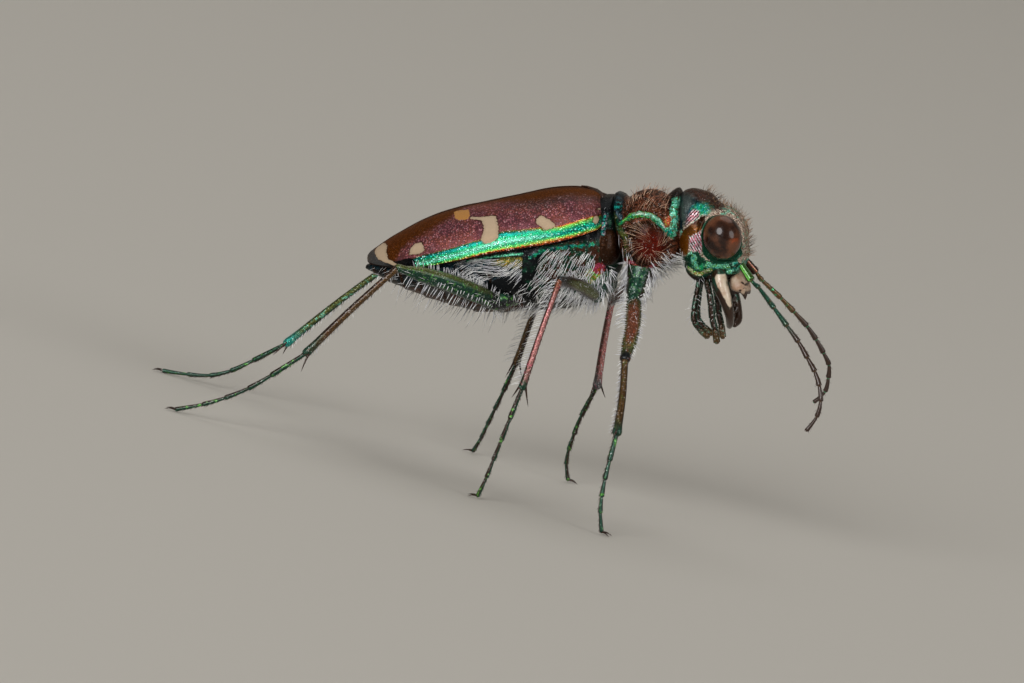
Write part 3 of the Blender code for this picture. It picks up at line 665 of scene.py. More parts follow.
def bristles(name, plantings, finish, slot, seed):
    """One piece of many curved, tapering bristles. Each planting is a dict of how they grow."""
    chance = np.random.default_rng(seed)
    corners, faces, maps, count = [], [], [], 0
    for index, plan in enumerate(plantings):
        skin, many = plan["skin"], plan["count"]
        root, normal, place, between = planted(skin, many, plan.get("where", np.ones(skin.points.shape[:2])), chance)
        lie = np.asarray(plan["lie"], float)
        lie = between(lie) if lie.ndim == 3 else np.broadcast_to(lie, root.shape)
        if skin.level:
            lie = level_to_standing(lie)
        lie = unit(lie - normal * (lie * normal).sum(-1, keepdims=True))
        spread = chance.normal(0, plan.get("jitter", 0.18), root.shape)
        stand = plan.get("stand", 0.5)
        way = unit(normal * stand + lie * (1 - stand) + spread)
        way = unit(way + normal * np.clip(0.12 - (way * normal).sum(-1, keepdims=True), 0, None))
        low, high = plan["length"]
        length = chance.uniform(low, high, (many, 1))
        bend = (lie * plan.get("curl", 0.25) - np.array((0, 0, 1.0)) * plan.get("droop", 0.05)) * length
        thick = plan.get("thick", 0.013) * chance.uniform(0.8, 1.2, (many, 1))
        side = unit(np.cross(way, normal + chance.normal(0, 0.3, root.shape)))
        other = np.cross(way, side)
        hair = np.zeros((many, 10, 3))
        for ring, (t, width) in enumerate(BRISTLE_RINGS):
            centre = root + way * length * t + bend * max(t, 0) ** 2
            for k in range(3):
                turn = 2 * math.pi * k / 3
                hair[:, 3 * ring + k] = centre + thick * width * (side * math.cos(turn) + other * math.sin(turn))
        hair[:, 9] = root + way * length + bend
        corners.append(hair.reshape(-1, 3))
        faces += [tuple(c + 10 * (count + n) for c in face) for n in range(many) for face in BRISTLE_FACES]
        patch = np.array([(k / 2, ring / 3) for ring in range(3) for k in range(3)] + [(0.5, 1.0)]) * MAP_PATCH
        tile = (place * (0.94, 0.94) + (0.02, 0.02) + (index, 0)) / (len(plantings), 1)
        maps.append((tile[:, None] + patch[None]).reshape(-1, 2))
        count += many
    mesh = bpy.data.meshes.new(name)
    mesh.from_pydata(np.concatenate(corners).tolist(), [], faces)
    layer = mesh.uv_layers.new(name="OFBake")
    corner_of = np.zeros(len(mesh.loops), int)
    mesh.loops.foreach_get("vertex_index", corner_of)
    layer.data.foreach_set("uv", np.concatenate(maps)[corner_of].ravel())
    item = bpy.data.objects.new(name, mesh)
    bpy.context.scene.collection.objects.link(item)
    return settle(item, name, finish, ())


def case_skin(side, seam, fold):
    """One wing case from its seam on the back to its side edge, and its fold under that edge."""
    table = np.array(CASE_ROWS)
    t = np.linspace(0, 1, 250)
    back = table[-1, 0] * (0.65 * t + 0.35 * (1 - np.cos(math.pi * t)) / 2)
    way, edge, crown, wide = through(table, np.interp(back, table[:, 0], np.arange(len(table)))).T[..., None]
    a = np.linspace(0, 1, 120)[None]
    angle = math.pi / 2 * (1 - a)
    gap = np.minimum(seam, wide * 0.3)
    across = gap + (wide - gap) * np.abs(np.cos(angle)) ** 0.86
    up = edge + (crown - edge) * np.sin(angle) ** 0.92
    b = np.linspace(0, 1, 14)[None, 1:]
    under = wide + 0.03 * np.sin(math.pi * b) - fold * b**2 * wide / 2.4
    below = edge - 0.06 * np.sin(b * math.pi / 2)
    across, up = np.concatenate((across, under), 1), np.concatenate((up, below), 1)
    way = np.broadcast_to(way, across.shape)
    a = np.broadcast_to(np.concatenate((a, 1 + 0.12 * b), 1), across.shape)
    cos, sin = math.cos(CASE_SLOPE), math.sin(CASE_SLOPE)
    points = np.stack((-way * cos - up * sin, side * across, -way * sin + up * cos), -1) + CASE_ORIGIN
    skin = Skin(points, around=False)
    flat = np.stack((way, a * CASE_ARC), -1)

    def spot(corners):
        return outside(flat, [(s, c * CASE_ARC) for s, c in corners]) - 0.02

    def limit(*places):
        at, where = zip(*places)
        return np.interp(way, at, where)

    shoulder = hump(np.linalg.norm(flat - (0.62, 0.73 * CASE_ARC), axis=-1), 0.42)
    dip = hump(np.linalg.norm(flat - (0.42, 0.40 * CASE_ARC), axis=-1), 0.40)
    cut = flat[..., 1]
    skin.push(
        0.05 * shoulder - 0.04 * dip + 0.018 * hump(cut - 0.03, 0.05) - 0.014 * hump(cut - 0.14, 0.05)
        - 0.004 * hump(cut - 3.10, 0.05) + 0.012 * hump(cut - 3.25, 0.05) + 0.006 * grain(points, 0.45, 3)
    )
    top = limit((0, 0.78), (0.25, 0.784), (0.7, 0.812), (1.4, 0.833), (2.3, 0.797), (3.47, 0.765),
                (4.2, 0.822), (5.2, 0.852), (6.1, 0.858), (6.72, 0.885), (6.92, 1.0), (7.4, 1.15))
    low = limit((0, 1.0), (0.5, 0.99), (1.2, 0.98), (2.3, 0.963), (3.6, 0.957), (4.5, 0.977), (5.4, 0.987),
                (6.3, 1.0), (7.0, 1.05), (7.4, 1.2), (8.43, 1.3))
    brown = limit((0, 0.30), (0.97, 0.34), (2.1, 0.40), (3.0, 0.26), (3.49, 0.20), (4.2, 0.11), (4.7, 0.13),
                  (5.25, 0.40), (5.71, 0.475), (6.19, 0.56), (6.68, 0.60), (7.0, 0.70), (7.2, 0.88), (7.5, 1.1))
    cream = [
        [(3.52, 0.528), (3.48, 0.696), (3.53, 0.823), (3.73, 0.866), (3.98, 0.872), (4.05, 0.819), (3.95, 0.726),
         (3.91, 0.622), (3.98, 0.548), (4.17, 0.498), (4.39, 0.470), (4.39, 0.445), (4.12, 0.482), (3.67, 0.502)],
        [(6.43, 0.655), (6.21, 0.668), (6.15, 0.729), (6.14, 0.789), (6.32, 0.823), (6.67, 0.803), (6.59, 0.722)],
        [(8.02, 0.16), (7.80, 0.12), (7.66, 0.30), (7.56, 0.441), (7.60, 0.622), (7.54, 0.839), (7.25, 0.946),
         (7.32, 0.97), (7.66, 0.913), (7.89, 0.823), (8.0, 0.629), (8.05, 0.40)],
        [(1.94, 0.649), (1.70, 0.735), (1.53, 0.819), (1.70, 0.84), (1.90, 0.833), (2.11, 0.735), (2.10, 0.686)],
        [(0.14, 0.79), (0.11, 0.86), (0.17, 0.905), (0.24, 0.86), (0.20, 0.80)],
        [(0.03, 0.635), (0.03, 0.66), (0.08, 0.65)],
    ]
    skin.fields = {
        "across_band": np.clip((a - top) / (low - top), -3, 4),
        "cream": np.min([spot(c) for c in cream], axis=0),
        "ochre": spot([(5.0, 0.217), (4.88, 0.205), (4.53, 0.25), (4.46, 0.368), (4.48, 0.468), (4.8, 0.445), (4.95, 0.371)]),
        "brown": (a - brown) * CASE_ARC,
        "apex": spot([(8.14, 0.0), (8.12, 0.3), (8.04, 0.6), (7.92, 0.85), (7.68, 0.92), (7.30, 0.90), (6.95, 0.88),
                      (6.72, 0.865), (6.52, 0.92), (6.50, 1.2), (9.0, 1.2), (9.0, 0.0)]),
        "fold": (1.0 - a) * CASE_ARC,
        "way": way,
        "suture": cut,
    }
    return skin


def scutellum_skin():
    """The small shield between the bases of the wing cases."""
    back = np.linspace(-0.12, 0.66, 30)[:, None]
    a = np.linspace(-1, 1, 31)[None]
    half = 0.50 * np.clip((0.66 - back) / 0.70, 0, 1) ** 0.8 + 0.004
    across = a * half
    table = np.array(CASE_ROWS)
    crown = np.interp(back, table[:, 0], table[:, 2])
    up = crown + 0.035 - 0.35 * across**2 + 0.03 * (1 - a**2) - 0.06 * smooth(-back, 0.0, 0.12)
    back = np.broadcast_to(back, across.shape)
    cos, sin = math.cos(CASE_SLOPE), math.sin(CASE_SLOPE)
    points = np.stack((-back * cos - up * sin, across, -back * sin + up * cos), -1) + CASE_ORIGIN
    skin = Skin(points, around=False)
    skin.facing *= math.copysign(1.0, skin.normals()[..., 2].sum())
    return skin


def prothorax_skin():
    skin = trunk_skin(PROTHORAX_ROWS, 170, 241, bulge=(0.02, 0.06))
    x, y, z = np.moveaxis(skin.points, -1, 0)
    side, wide = skin.side, np.abs(y)
    margin = [(0.30, 0.12), (0.50, 0.28), (0.66, 0.44), (0.86, 0.57), (1.22, 0.65), (1.59, 0.60), (1.86, 0.40),
              (2.08, 0.16), (2.25, -0.05)]
    arch = distance(side, margin[1:])
    below = side[..., 1] < np.interp(x, [p[0] for p in margin], [p[1] for p in margin])
    dome = oval(side, (1.44, -0.40), (0.74, 0.84))
    upper = smooth(z, 0.3, 0.7)
    skin.push(
        -0.055 * hump(x - 0.66, 0.09) * upper - 0.05 * hump(x - 2.02, 0.08) * smooth(z, 0.1, 0.5)
        + 0.02 * hump(x - 0.36, 0.10) * upper + 0.02 * hump(x - 2.26, 0.12)
        - 0.025 * hump(y, 0.06) * smooth(z, 0.9, 1.1) * hump(x - 1.3, 0.6)
        + 0.055 * hump(arch, 0.05) - 0.045 * hump(arch - 0.12, 0.05) * below
        + 0.07 * smooth(-dome, 0.0, 0.5) - 0.05 * hump(dome - 0.03, 0.06) * smooth(wide, 0.6, 1.0)
        + 0.012 * grain(skin.points, 0.10, 5) * (dome > 0) * (x > 0.7) * (x < 2.0)
        + 0.02 * grain(skin.points, 0.35, 6)
    )
    skin.fields = {
        "arch": arch - 0.04 - 0.05 * smooth(x, 0.55, 1.0),
        # Where a painted pale mint highlight runs along the top of the arch
        "arch_core": distance(side, [(1.0, 0.63), (1.22, 0.67), (1.60, 0.62), (1.88, 0.41), (2.1, 0.17)]) - 0.045,
        "dome": dome,
        "dome_middle": oval(side, (1.58, -0.46), (0.50, 0.50)),
        "rear_collar": np.maximum(x - 0.60, 0.35 - z),
        "collar_spot": oval(side, (0.42, 0.88), (0.12, 0.14)),
        "front_rim": np.maximum(2.16 - x, 0.62 - z),
        "front_band": np.maximum(distance(side, [(2.42, 1.05), (2.34, 0.70), (2.34, 0.3), (2.30, -0.05)]) - 0.14, z - 1.20),
        "ember_spot": oval(side, (2.14, 0.38), (0.12, 0.20)),
        "lower_edge": distance(side, [(0.66, -0.98), (0.90, -1.12), (1.15, -1.24), (1.42, -1.27), (1.62, -1.18)]) - 0.085,
        "rear_edge": distance(side, [(0.27, 0.60), (0.47, 0.14), (0.66, -0.12), (0.72, -0.50), (0.66, -1.0)]) - 0.10,
        "belly": z + 1.15,
    }
    return skin


def flank_spots(skin):
    """The pink and the golden spot across the seam of the two hind rings of the chest."""
    return {"pink": oval(skin.side, (-0.22, -1.21), (0.19, 0.19)), "gold": oval(skin.side, (-0.38, -1.50), (0.28, 0.30))}


def mesothorax_skin():
    skin = trunk_skin(MESOTHORAX_ROWS, 60, 201, bulge=(0.05, 0.0))
    x, y, z = np.moveaxis(skin.points, -1, 0)
    plate = oval(skin.side, (0.12, -0.50), (0.38, 0.62))
    skin.push(
        0.08 * smooth(-plate, 0.0, 0.3) - 0.05 * hump(plate - 0.03, 0.05) + 0.015 * grain(skin.points, 0.3, 8)
        + 0.03 * hump(distance(skin.side, [(0.40, 0.5), (-0.25, 0.35)]), 0.06)
    )
    skin.fields = {
        "plate": plate,
        **flank_spots(skin),
        "blue_line": distance(skin.side, [(0.03, 0.64), (-0.04, 0.32), (-0.07, -0.05)]) - 0.06,
        "top": 0.55 - z,
    }
    return skin


def metathorax_skin():
    skin = trunk_skin(METATHORAX_ROWS, 150, 261, bulge=(0.0, 0.03))
    x, y, z = np.moveaxis(skin.points, -1, 0)
    groove = distance(skin.side, [(-1.98, -0.50), (-2.34, -1.27), (-2.44, -1.75), (-2.38, -2.4)])
    seam = distance(skin.side, [(-0.45, -1.55), (-1.2, -1.86), (-2.4, -2.02)])
    keel = hump(y, 0.10) * (z < -2)
    skin.push(
        -0.07 * hump(groove, 0.09) - 0.035 * hump(seam, 0.06) + 0.04 * hump(distance(skin.side, [(-0.57, -0.34), (-2.0, -0.48), (-2.5, -0.75)]), 0.05)
        + 0.010 * grain(skin.points, 0.12, 9) + 0.02 * grain(skin.points, 0.5, 10) - 0.03 * keel
        - 0.04 * hump(x + 1.9, 0.05) * (z < -2.2)
    )
    skin.fields = {
        "teal_line": distance(skin.side, [(-0.40, -0.36), (-1.0, -0.40), (-2.0, -0.52), (-2.5, -0.78)]) - 0.05,
        "groove": groove - 0.05,
        "behind": x - np.interp(z, (-2.4, -1.75, -1.27, -0.50), (-2.38, -2.44, -2.34, -1.98)),
        "coxal_plate": oval(skin.side, (-3.28, -1.78), (0.70, 0.38)),
        "below": z + 2.2,
        "high": -0.25 - z,
        **flank_spots(skin),
    }
    return skin


def abdomen_skin():
    skin = trunk_skin(ABDOMEN_ROWS, 300, 241, bulge=(0.0, 0.05))
    x, y, z = np.moveaxis(skin.points, -1, 0)
    low = smooth(-z, 0.9, 1.3)
    steps, edges = 0.0, (-3.95, -4.85, -5.70, -6.45, -7.10, -7.65, -8.10)
    lean = x + 0.16 * (z + 1.6)
    for rear in edges:
        back = lean - rear
        steps = steps + 0.045 * np.where(back > 0, np.exp(-back / 0.30), 0.0) - 0.03 * hump(back + 0.04, 0.045)
    side_line = distance(skin.side, [(-2.9, -0.70), (-4.6, -0.86), (-6.2, -1.00), (-7.6, -1.10)])
    plate = oval(skin.side, (-3.28, -1.78), (0.70, 0.38))
    skin.push(
        steps * low + 0.03 * hump(side_line, 0.05) - 0.04 * hump(side_line - 0.10, 0.05) * (z < -0.8)
        + 0.07 * smooth(-plate, 0.0, 0.35) - 0.05 * hump(plate - 0.03, 0.05) * (np.abs(y) > 1.0)
        + 0.006 * grain(skin.points, 0.15, 12) + 0.015 * grain(skin.points, 0.5, 13)
    )
    near_step = np.min([np.abs(lean - rear - 0.05) for rear in edges], axis=0)
    skin.fields = {
        "coxal_plate": plate,
        "green_line": distance(skin.side, [(-2.4, -0.63), (-3.17, -0.67), (-4.05, -0.78), (-4.67, -0.91)]) - 0.035,
        "flank_patch": oval(skin.side, (-3.12, -0.95), (0.62, 0.19)),
        "rear_edges": np.maximum(near_step - 0.06, z + 1.2),
        "belly": z + 1.75,
    }
    return skin


def eye_reach(points):
    """How far points are from the middle of the eye on their side, counted in eye radii."""
    away = np.stack((points[..., 0], np.abs(points[..., 1]), points[..., 2]), -1) - EYE_CENTRE
    cos, sin = math.cos(-EYE_LEAN), math.sin(-EYE_LEAN)
    x, y, z = np.moveaxis(away, -1, 0)
    return np.linalg.norm(np.stack((x * cos + z * sin, y, -x * sin + z * cos), -1) / EYE_RADII, axis=-1)


def head_skin():
    skin = trunk_skin(HEAD_ROWS, 260, 301, bulge=(0.02, 0.02))
    x, y, z = np.moveaxis(skin.points, -1, 0)
    wide, reach = np.abs(y), eye_reach(skin.points)
    jaw = [(2.80, -1.22), (2.95, -1.42), (3.36, -1.60), (3.90, -1.56), (4.25, -1.42)]
    jaw_line = distance(skin.side, jaw)
    socket = np.linalg.norm(np.stack((x - 4.52, wide - 0.74, z + 0.86), -1), axis=-1)
    front = smooth(x, 3.6, 4.2)
    upper = smooth(z, 0.1, 0.5)
    skin.push(
        0.030 * hump(reach - 1.06, 0.06) - 0.03 * hump(reach - 1.20, 0.07)
        + 0.03 * hump(reach - 1.45, 0.10) * upper
        - 0.06 * hump(wide, 0.55) * hump(z - 0.75, 0.5) * smooth(x, 3.2, 3.8)
        + 0.045 * hump(jaw_line, 0.06) * (wide > 0.5) - 0.03 * hump(jaw_line - 0.14, 0.06) * (wide > 0.5)
        + 0.05 * hump(socket - 0.25, 0.05) - 0.05 * hump(socket, 0.13)
        - 0.03 * hump(z + 1.02, 0.04) * front + 0.03 * hump(z + 0.55, 0.25) * hump(wide, 0.35) * front
        + 0.04 * smooth(-oval(skin.side, (2.98, -0.10), (0.42, 0.62)), 0, 0.3)
        + 0.010 * grain(skin.points, 0.09, 15) * (front + upper * 0.4) + 0.02 * grain(skin.points, 0.4, 16)
    )
    skin.fields = {
        "eye_ring": (reach - 1.10 - 0.20 * smooth(-z, 0.3, 0.8)) * 0.7,
        "temple": outside(skin.side, [(2.45, -0.35), (2.67, 0.09), (3.26, 0.52), (3.42, 0.58), (3.42, 0.30),
                                      (3.28, 0.05), (2.90, -0.15), (2.80, -0.78), (2.46, -0.80)]),
        "stripe_high": outside(skin.side, [(2.77, 0.24), (3.26, 0.52), (3.20, 0.74), (3.02, 0.80), (2.78, 0.50)]),
        "stripe_low": outside(skin.side, [(2.88, -0.15), (3.28, 0.05), (3.36, -0.37), (3.26, -0.74), (2.90, -0.60)]),
        "striae": np.where(z > 0.05, 0.69 * z - 0.72 * x, 0.89 * x + 0.46 * z) / 0.08,
        "cheek": outside(skin.side, [(2.50, -0.88), (2.90, -0.72), (3.18, -0.62), (3.40, -0.95), (4.05, -1.05),
                                     (4.50, -0.90), (4.62, -1.30), (4.4, -2.2), (2.4, -2.2)]),
        "cheek_bright": np.minimum(distance(skin.side, [(3.02, -0.84), (3.02, -1.02), (3.10, -1.22)]) - 0.10,
                                   distance(skin.side, [(3.46, -1.13), (3.80, -1.20), (4.15, -1.16), (4.22, -1.36)]) - 0.09),
        "socket": oval(skin.side, (4.34, -1.08), (0.12, 0.20)),
        "jaw_edge": distance(skin.side, [(2.78, -1.24), (2.94, -1.40), (3.17, -1.45), (3.57, -1.30)]) - 0.06,
        "under": outside(skin.side, [(2.2, -1.30), (2.80, -1.42), (3.0, -1.54), (3.30, -1.58), (3.60, -1.43), (3.92, -1.36),
                                     (4.12, -1.44), (4.5, -1.5), (4.5, -2.6), (2.2, -2.6)]),
        "crown": outside(skin.side, [(2.3, 2.0), (3.75, 2.0), (3.66, 1.0), (3.42, 0.66), (3.2, 0.70), (2.74, 0.28), (2.62, 0.1),
                                     (2.2, -0.2)]),
        "crown_brown": outside(skin.side, [(2.3, 1.34), (2.9, 1.26), (3.25, 1.0), (3.55, 0.72), (4.0, 0.70), (4.1, 1.5),
                                           (2.3, 2.0)]),
        "teal": oval(skin.side, (3.30, 0.78), (0.27, 0.20)),
        "front": outside(skin.side, [(3.72, 2.0), (3.66, 0.95), (3.75, 0.60), (4.35, 0.5), (4.55, -0.9), (5.2, -0.9), (5.2, 2.0)]),
        "clypeus": np.maximum(z + 1.02, 4.3 - x),
    }
    return skin


def eye_skin(side):
    """An egg-shaped eye, a little flatter on its inner side."""
    polar = np.linspace(0, math.pi, 73)[:, None]
    turn = np.linspace(0, 2 * math.pi, 97)[None]
    ball = np.stack((np.sin(polar) * np.cos(turn), np.cos(polar) + 0 * turn, np.sin(polar) * np.sin(turn)), -1)
    ball[..., 1] = np.where(ball[..., 1] < 0, ball[..., 1] * 0.85, ball[..., 1])
    x, y, z = np.moveaxis(ball * EYE_RADII, -1, 0)
    cos, sin = math.cos(EYE_LEAN), math.sin(EYE_LEAN)
    points = np.stack((x * cos + z * sin, y, -x * sin + z * cos), -1) + EYE_CENTRE
    points[..., 1] *= side
    skin = Skin(points)
    # Places of a painted dark reflection over the eye's middle and a painted amber reflection low at its front
    skin.fields = {"dusk": oval(skin.side, (4.14, 0.08), (0.50, 0.34)), "fleck": oval(skin.side, (4.40, -0.30), (0.15, 0.11))}
    return skin


def mandible_skins(side):
    joints = np.array(MANDIBLE_LINE)
    joints[:, 0] += MANDIBLE_SHIFT[side]
    joints[:, 1] *= side
    at = np.linspace(0, 5, 90)
    radii = through(joints, at)[:, 3]
    skin = limb_skin(joints[:, :3], at, radii, 40, (0.25, side, 0), flat=0.82, level=True)
    middle = skin.points.mean(axis=1, keepdims=True)
    face = [(x + (MANDIBLE_SHIFT[side][2] - MANDIBLE_SHIFT[RIGHT][2]), z) for x, z in MANDIBLE_FACE]
    skin.fields = {
        "cream": np.maximum(outside(skin.side, face), (middle[..., 1] - skin.points[..., 1]) * side),
        "tip": skin.points[..., 2] + 2.62,
    }
    teeth = []
    for start, end in MANDIBLE_TEETH:
        start, end = np.array(start) * (1, side, 1), np.array(end) * (1, side, 1)
        tooth = cone_skin(start, end, 0.13, (0, 0, -0.03), 12, 12, level=True)
        tooth.fields = {"cream": np.ones(tooth.points.shape[:2]), "tip": -np.ones(tooth.points.shape[:2])}
        teeth.append(tooth)
    return [skin, *teeth]


def labrum_skins():
    skin = trunk_skin(LABRUM_ROWS, 60, 121, squareness=0.7, bulge=(0.02, 0.03))
    x, y, z = np.moveaxis(skin.points, -1, 0)
    skin.push(-0.006 * hump(z + 1.72, 0.05) + 0.02 * hump(y, 0.12) + 0.008 * grain(skin.points, 0.2, 20))
    front = skin.points[..., (1, 2)]
    pores = np.min([oval(front, (k * 0.17, -1.98 + 0.05 * abs(k)), (0.05, 0.05)) for k in (-4, -2.6, -1.2, 1.2, 2.6, 4)], axis=0)
    sides = np.min([oval(skin.side, at, (0.05, 0.04)) for at in ((4.70, -1.98), (4.56, -2.03), (4.74, -1.84))], axis=0)
    skin.fields = {"teeth": z + 2.06, "pores": np.where(x > 4.55, np.minimum(pores, sides), sides)}
    teeth = []
    for k, length in ((-1, 0.20), (0, 0.27), (1, 0.20), (-1.9, 0.10), (1.9, 0.10)):
        root = np.array((4.62, k * 0.34, -2.06 + 0.03 * abs(k)))
        tooth = cone_skin(root, root + (0.03, 0, -length - 0.08), 0.13, rows=10, sides=12, level=True)
        tooth.fields = {"teeth": tooth.points[..., 2] + 2.16, "pores": np.ones(tooth.points.shape[:2])}
        teeth.append(tooth)
    return [skin, *teeth]


def palp_skin(line, side, sizes):
    joints = np.array(line) * (1, side, 1)
    at = segment_places(len(joints) - 1)
    return limb_skin(joints, at, segment_radii(at, sizes, 0.80, 0.66), 18, (0, side, 0), level=True)


def antenna_skin(side):
    at = segment_places(11)
    sizes = (0.15, 0.092, 0.10, 0.105, 0.10, 0.10, 0.098, 0.095, 0.092, 0.088, 0.078)
    skin = limb_skin(ANTENNA_JOINTS[side], at, segment_radii(at, sizes, 0.58, 0.48), 18, (0, 0, 1), level=True)
    rows, columns = skin.points.shape[:2]
    place = np.concatenate((np.zeros(4), at, np.full(4, 11.0)))[:, None]
    turn = np.linspace(0, 1, columns)[None]
    skin.fields = {"place": place + 0 * turn, "joint": np.abs(place - np.round(place)) + 0 * turn}
    return skin


def leg_ways(pair, side):
    """The joints of a leg, and the outer sides of its femur and its shin."""
    joints = np.array(LEGS[pair, side])
    thigh, shank = unit(joints[2] - joints[1]), unit(joints[3] - joints[2])
    if (pair, side) == ("front", RIGHT):
        ahead = np.array((1.0, 0.0, 0.1))
        return joints, unit(ahead - thigh * (thigh @ ahead)), unit(ahead - shank * (shank @ ahead))
    return joints, unit(thigh * (thigh @ shank) - shank), unit(thigh - shank * (shank @ thigh))


def hip_skins(pair, side):
    """The coxa, a cone out of the body, and the bean-shaped trochanter below it."""
    joints, outer, _ = leg_ways(pair, side)
    root, end, knee = joints[:3]
    if pair == "front":
        root = root * (1, 0.75, 1) + (0.24, 0, 0.1)
    wide, narrow = {"front": (0.47, 0.23), "middle": (0.44, 0.24), "hind": (0.44, 0.24)}[pair]
    at = np.linspace(0, 2, 46)
    t = at / 2
    radii = wide + (narrow - wide) * t**1.6 + 0.03 * np.sin(t * math.pi * 3)
    hip = limb_skin((root, root * 0.52 + end * 0.48, end), at, radii, 32, outer)
    hip.push(0.012 * grain(hip.points, 0.2, 21))
    way = unit(knee - end)
    length = 0.62 if pair == "hind" else 0.46
    start = end - way * 0.16
    bean = (start, start + way * length * 0.5 - outer * 0.03, start + way * length)
    radii = LEG_RADII[pair][0] * (0.55 + 0.30 * np.sin(np.linspace(0.1, 1, 20) * math.pi))
    return [hip, limb_skin(bean, np.linspace(0, 2, 20), radii, 24, outer)]


def femur_skin(pair, side):
    joints, outer, _ = leg_ways(pair, side)
    thick, at_knee = LEG_RADII[pair][:2]
    start, knee = joints[1], joints[2]
    at = np.linspace(0, 2, 110)
    t = at / 2
    shape = np.interp(t, (0, 0.04, 0.12, 0.30, 0.50, 0.75, 0.90, 0.955, 1.0), (0.55, 0.70, 0.86, 1.0, 0.95, 0.70, 0.0, 0.06, 0.03))
    radii = at_knee + (thick - at_knee) * shape
    radii[t < 0.12] = thick * shape[t < 0.12]
    middle = (start + knee) / 2 + outer * 0.10
    skin = limb_skin((start, middle, knee), at, radii, 40, outer, flat=0.88)
    turn = np.linspace(0, 2 * math.pi, 41)[None]
    skin.push(-0.02 * hump(np.cos(turn), 0.25) * hump(np.linspace(0, 1, len(skin.points))[:, None] - 0.5, 0.42))
    return skin


def shin_skins(pair, side):
    joints, _, outer = leg_ways(pair, side)
    _, _, thick, at_end, _ = LEG_RADII[pair]
    knee, end = joints[2], joints[3]
    at = np.linspace(0, 2, 110)
    shape = np.interp(at / 2, (0, 0.02, 0.06, 0.12, 0.5, 0.85, 0.97, 1.0), (0.85, 1.0, 1.08, 0.92, 1.0, 1.12, at_end / thick, at_end / thick * 0.95))
    middle = (knee + end) / 2 + outer * 0.05
    shin = limb_skin((knee, middle, end), at, thick * shape, 28, outer)
    way = unit(end - knee)
    across = unit(np.cross(way, outer))
    spurs = []
    for turn, length in ((-1, 0.72), (1, 0.60)):
        root = end - way * 0.10 + across * turn * at_end * 0.7
        tip = root + unit(way + across * turn * 0.42 - outer * 0.25) * length
        spurs.append(cone_skin(root, tip, 0.040, way * 0.02))
        spurs[-1].fields = {"spur": np.ones(spurs[-1].points.shape[:2])}
    return [shin, *spurs]


def foot_skins(pair, side):
    """Five segments of the foot and its two claws, whose tips rest on the floor."""
    joints, _, outer = leg_ways(pair, side)
    size = LEG_RADII[pair][4]
    at = segment_places(5)
    foot = limb_skin(joints[3:], at, segment_radii(at, size * np.array((1.12, 1.05, 1.0, 0.96, 0.95)), 0.60, 0.5), 20, outer)
    end, way = joints[-1], unit(joints[-1] - joints[-2])
    ahead = unit(np.array((way[0], way[1], 0.0)))
    across = np.array((-ahead[1], ahead[0], 0.0))
    claws = []
    for turn in (-1, 1):
        root = end - way * 0.03 + across * turn * 0.03
        tip = end + ahead * 0.34 + across * turn * 0.20
        tip[2] = 0.05
        claws.append(cone_skin(root, tip, 0.036, (0, 0, 0.035)))
        claws[-1].fields = {"spur": np.ones(claws[-1].points.shape[:2])}
    return [foot, *claws]


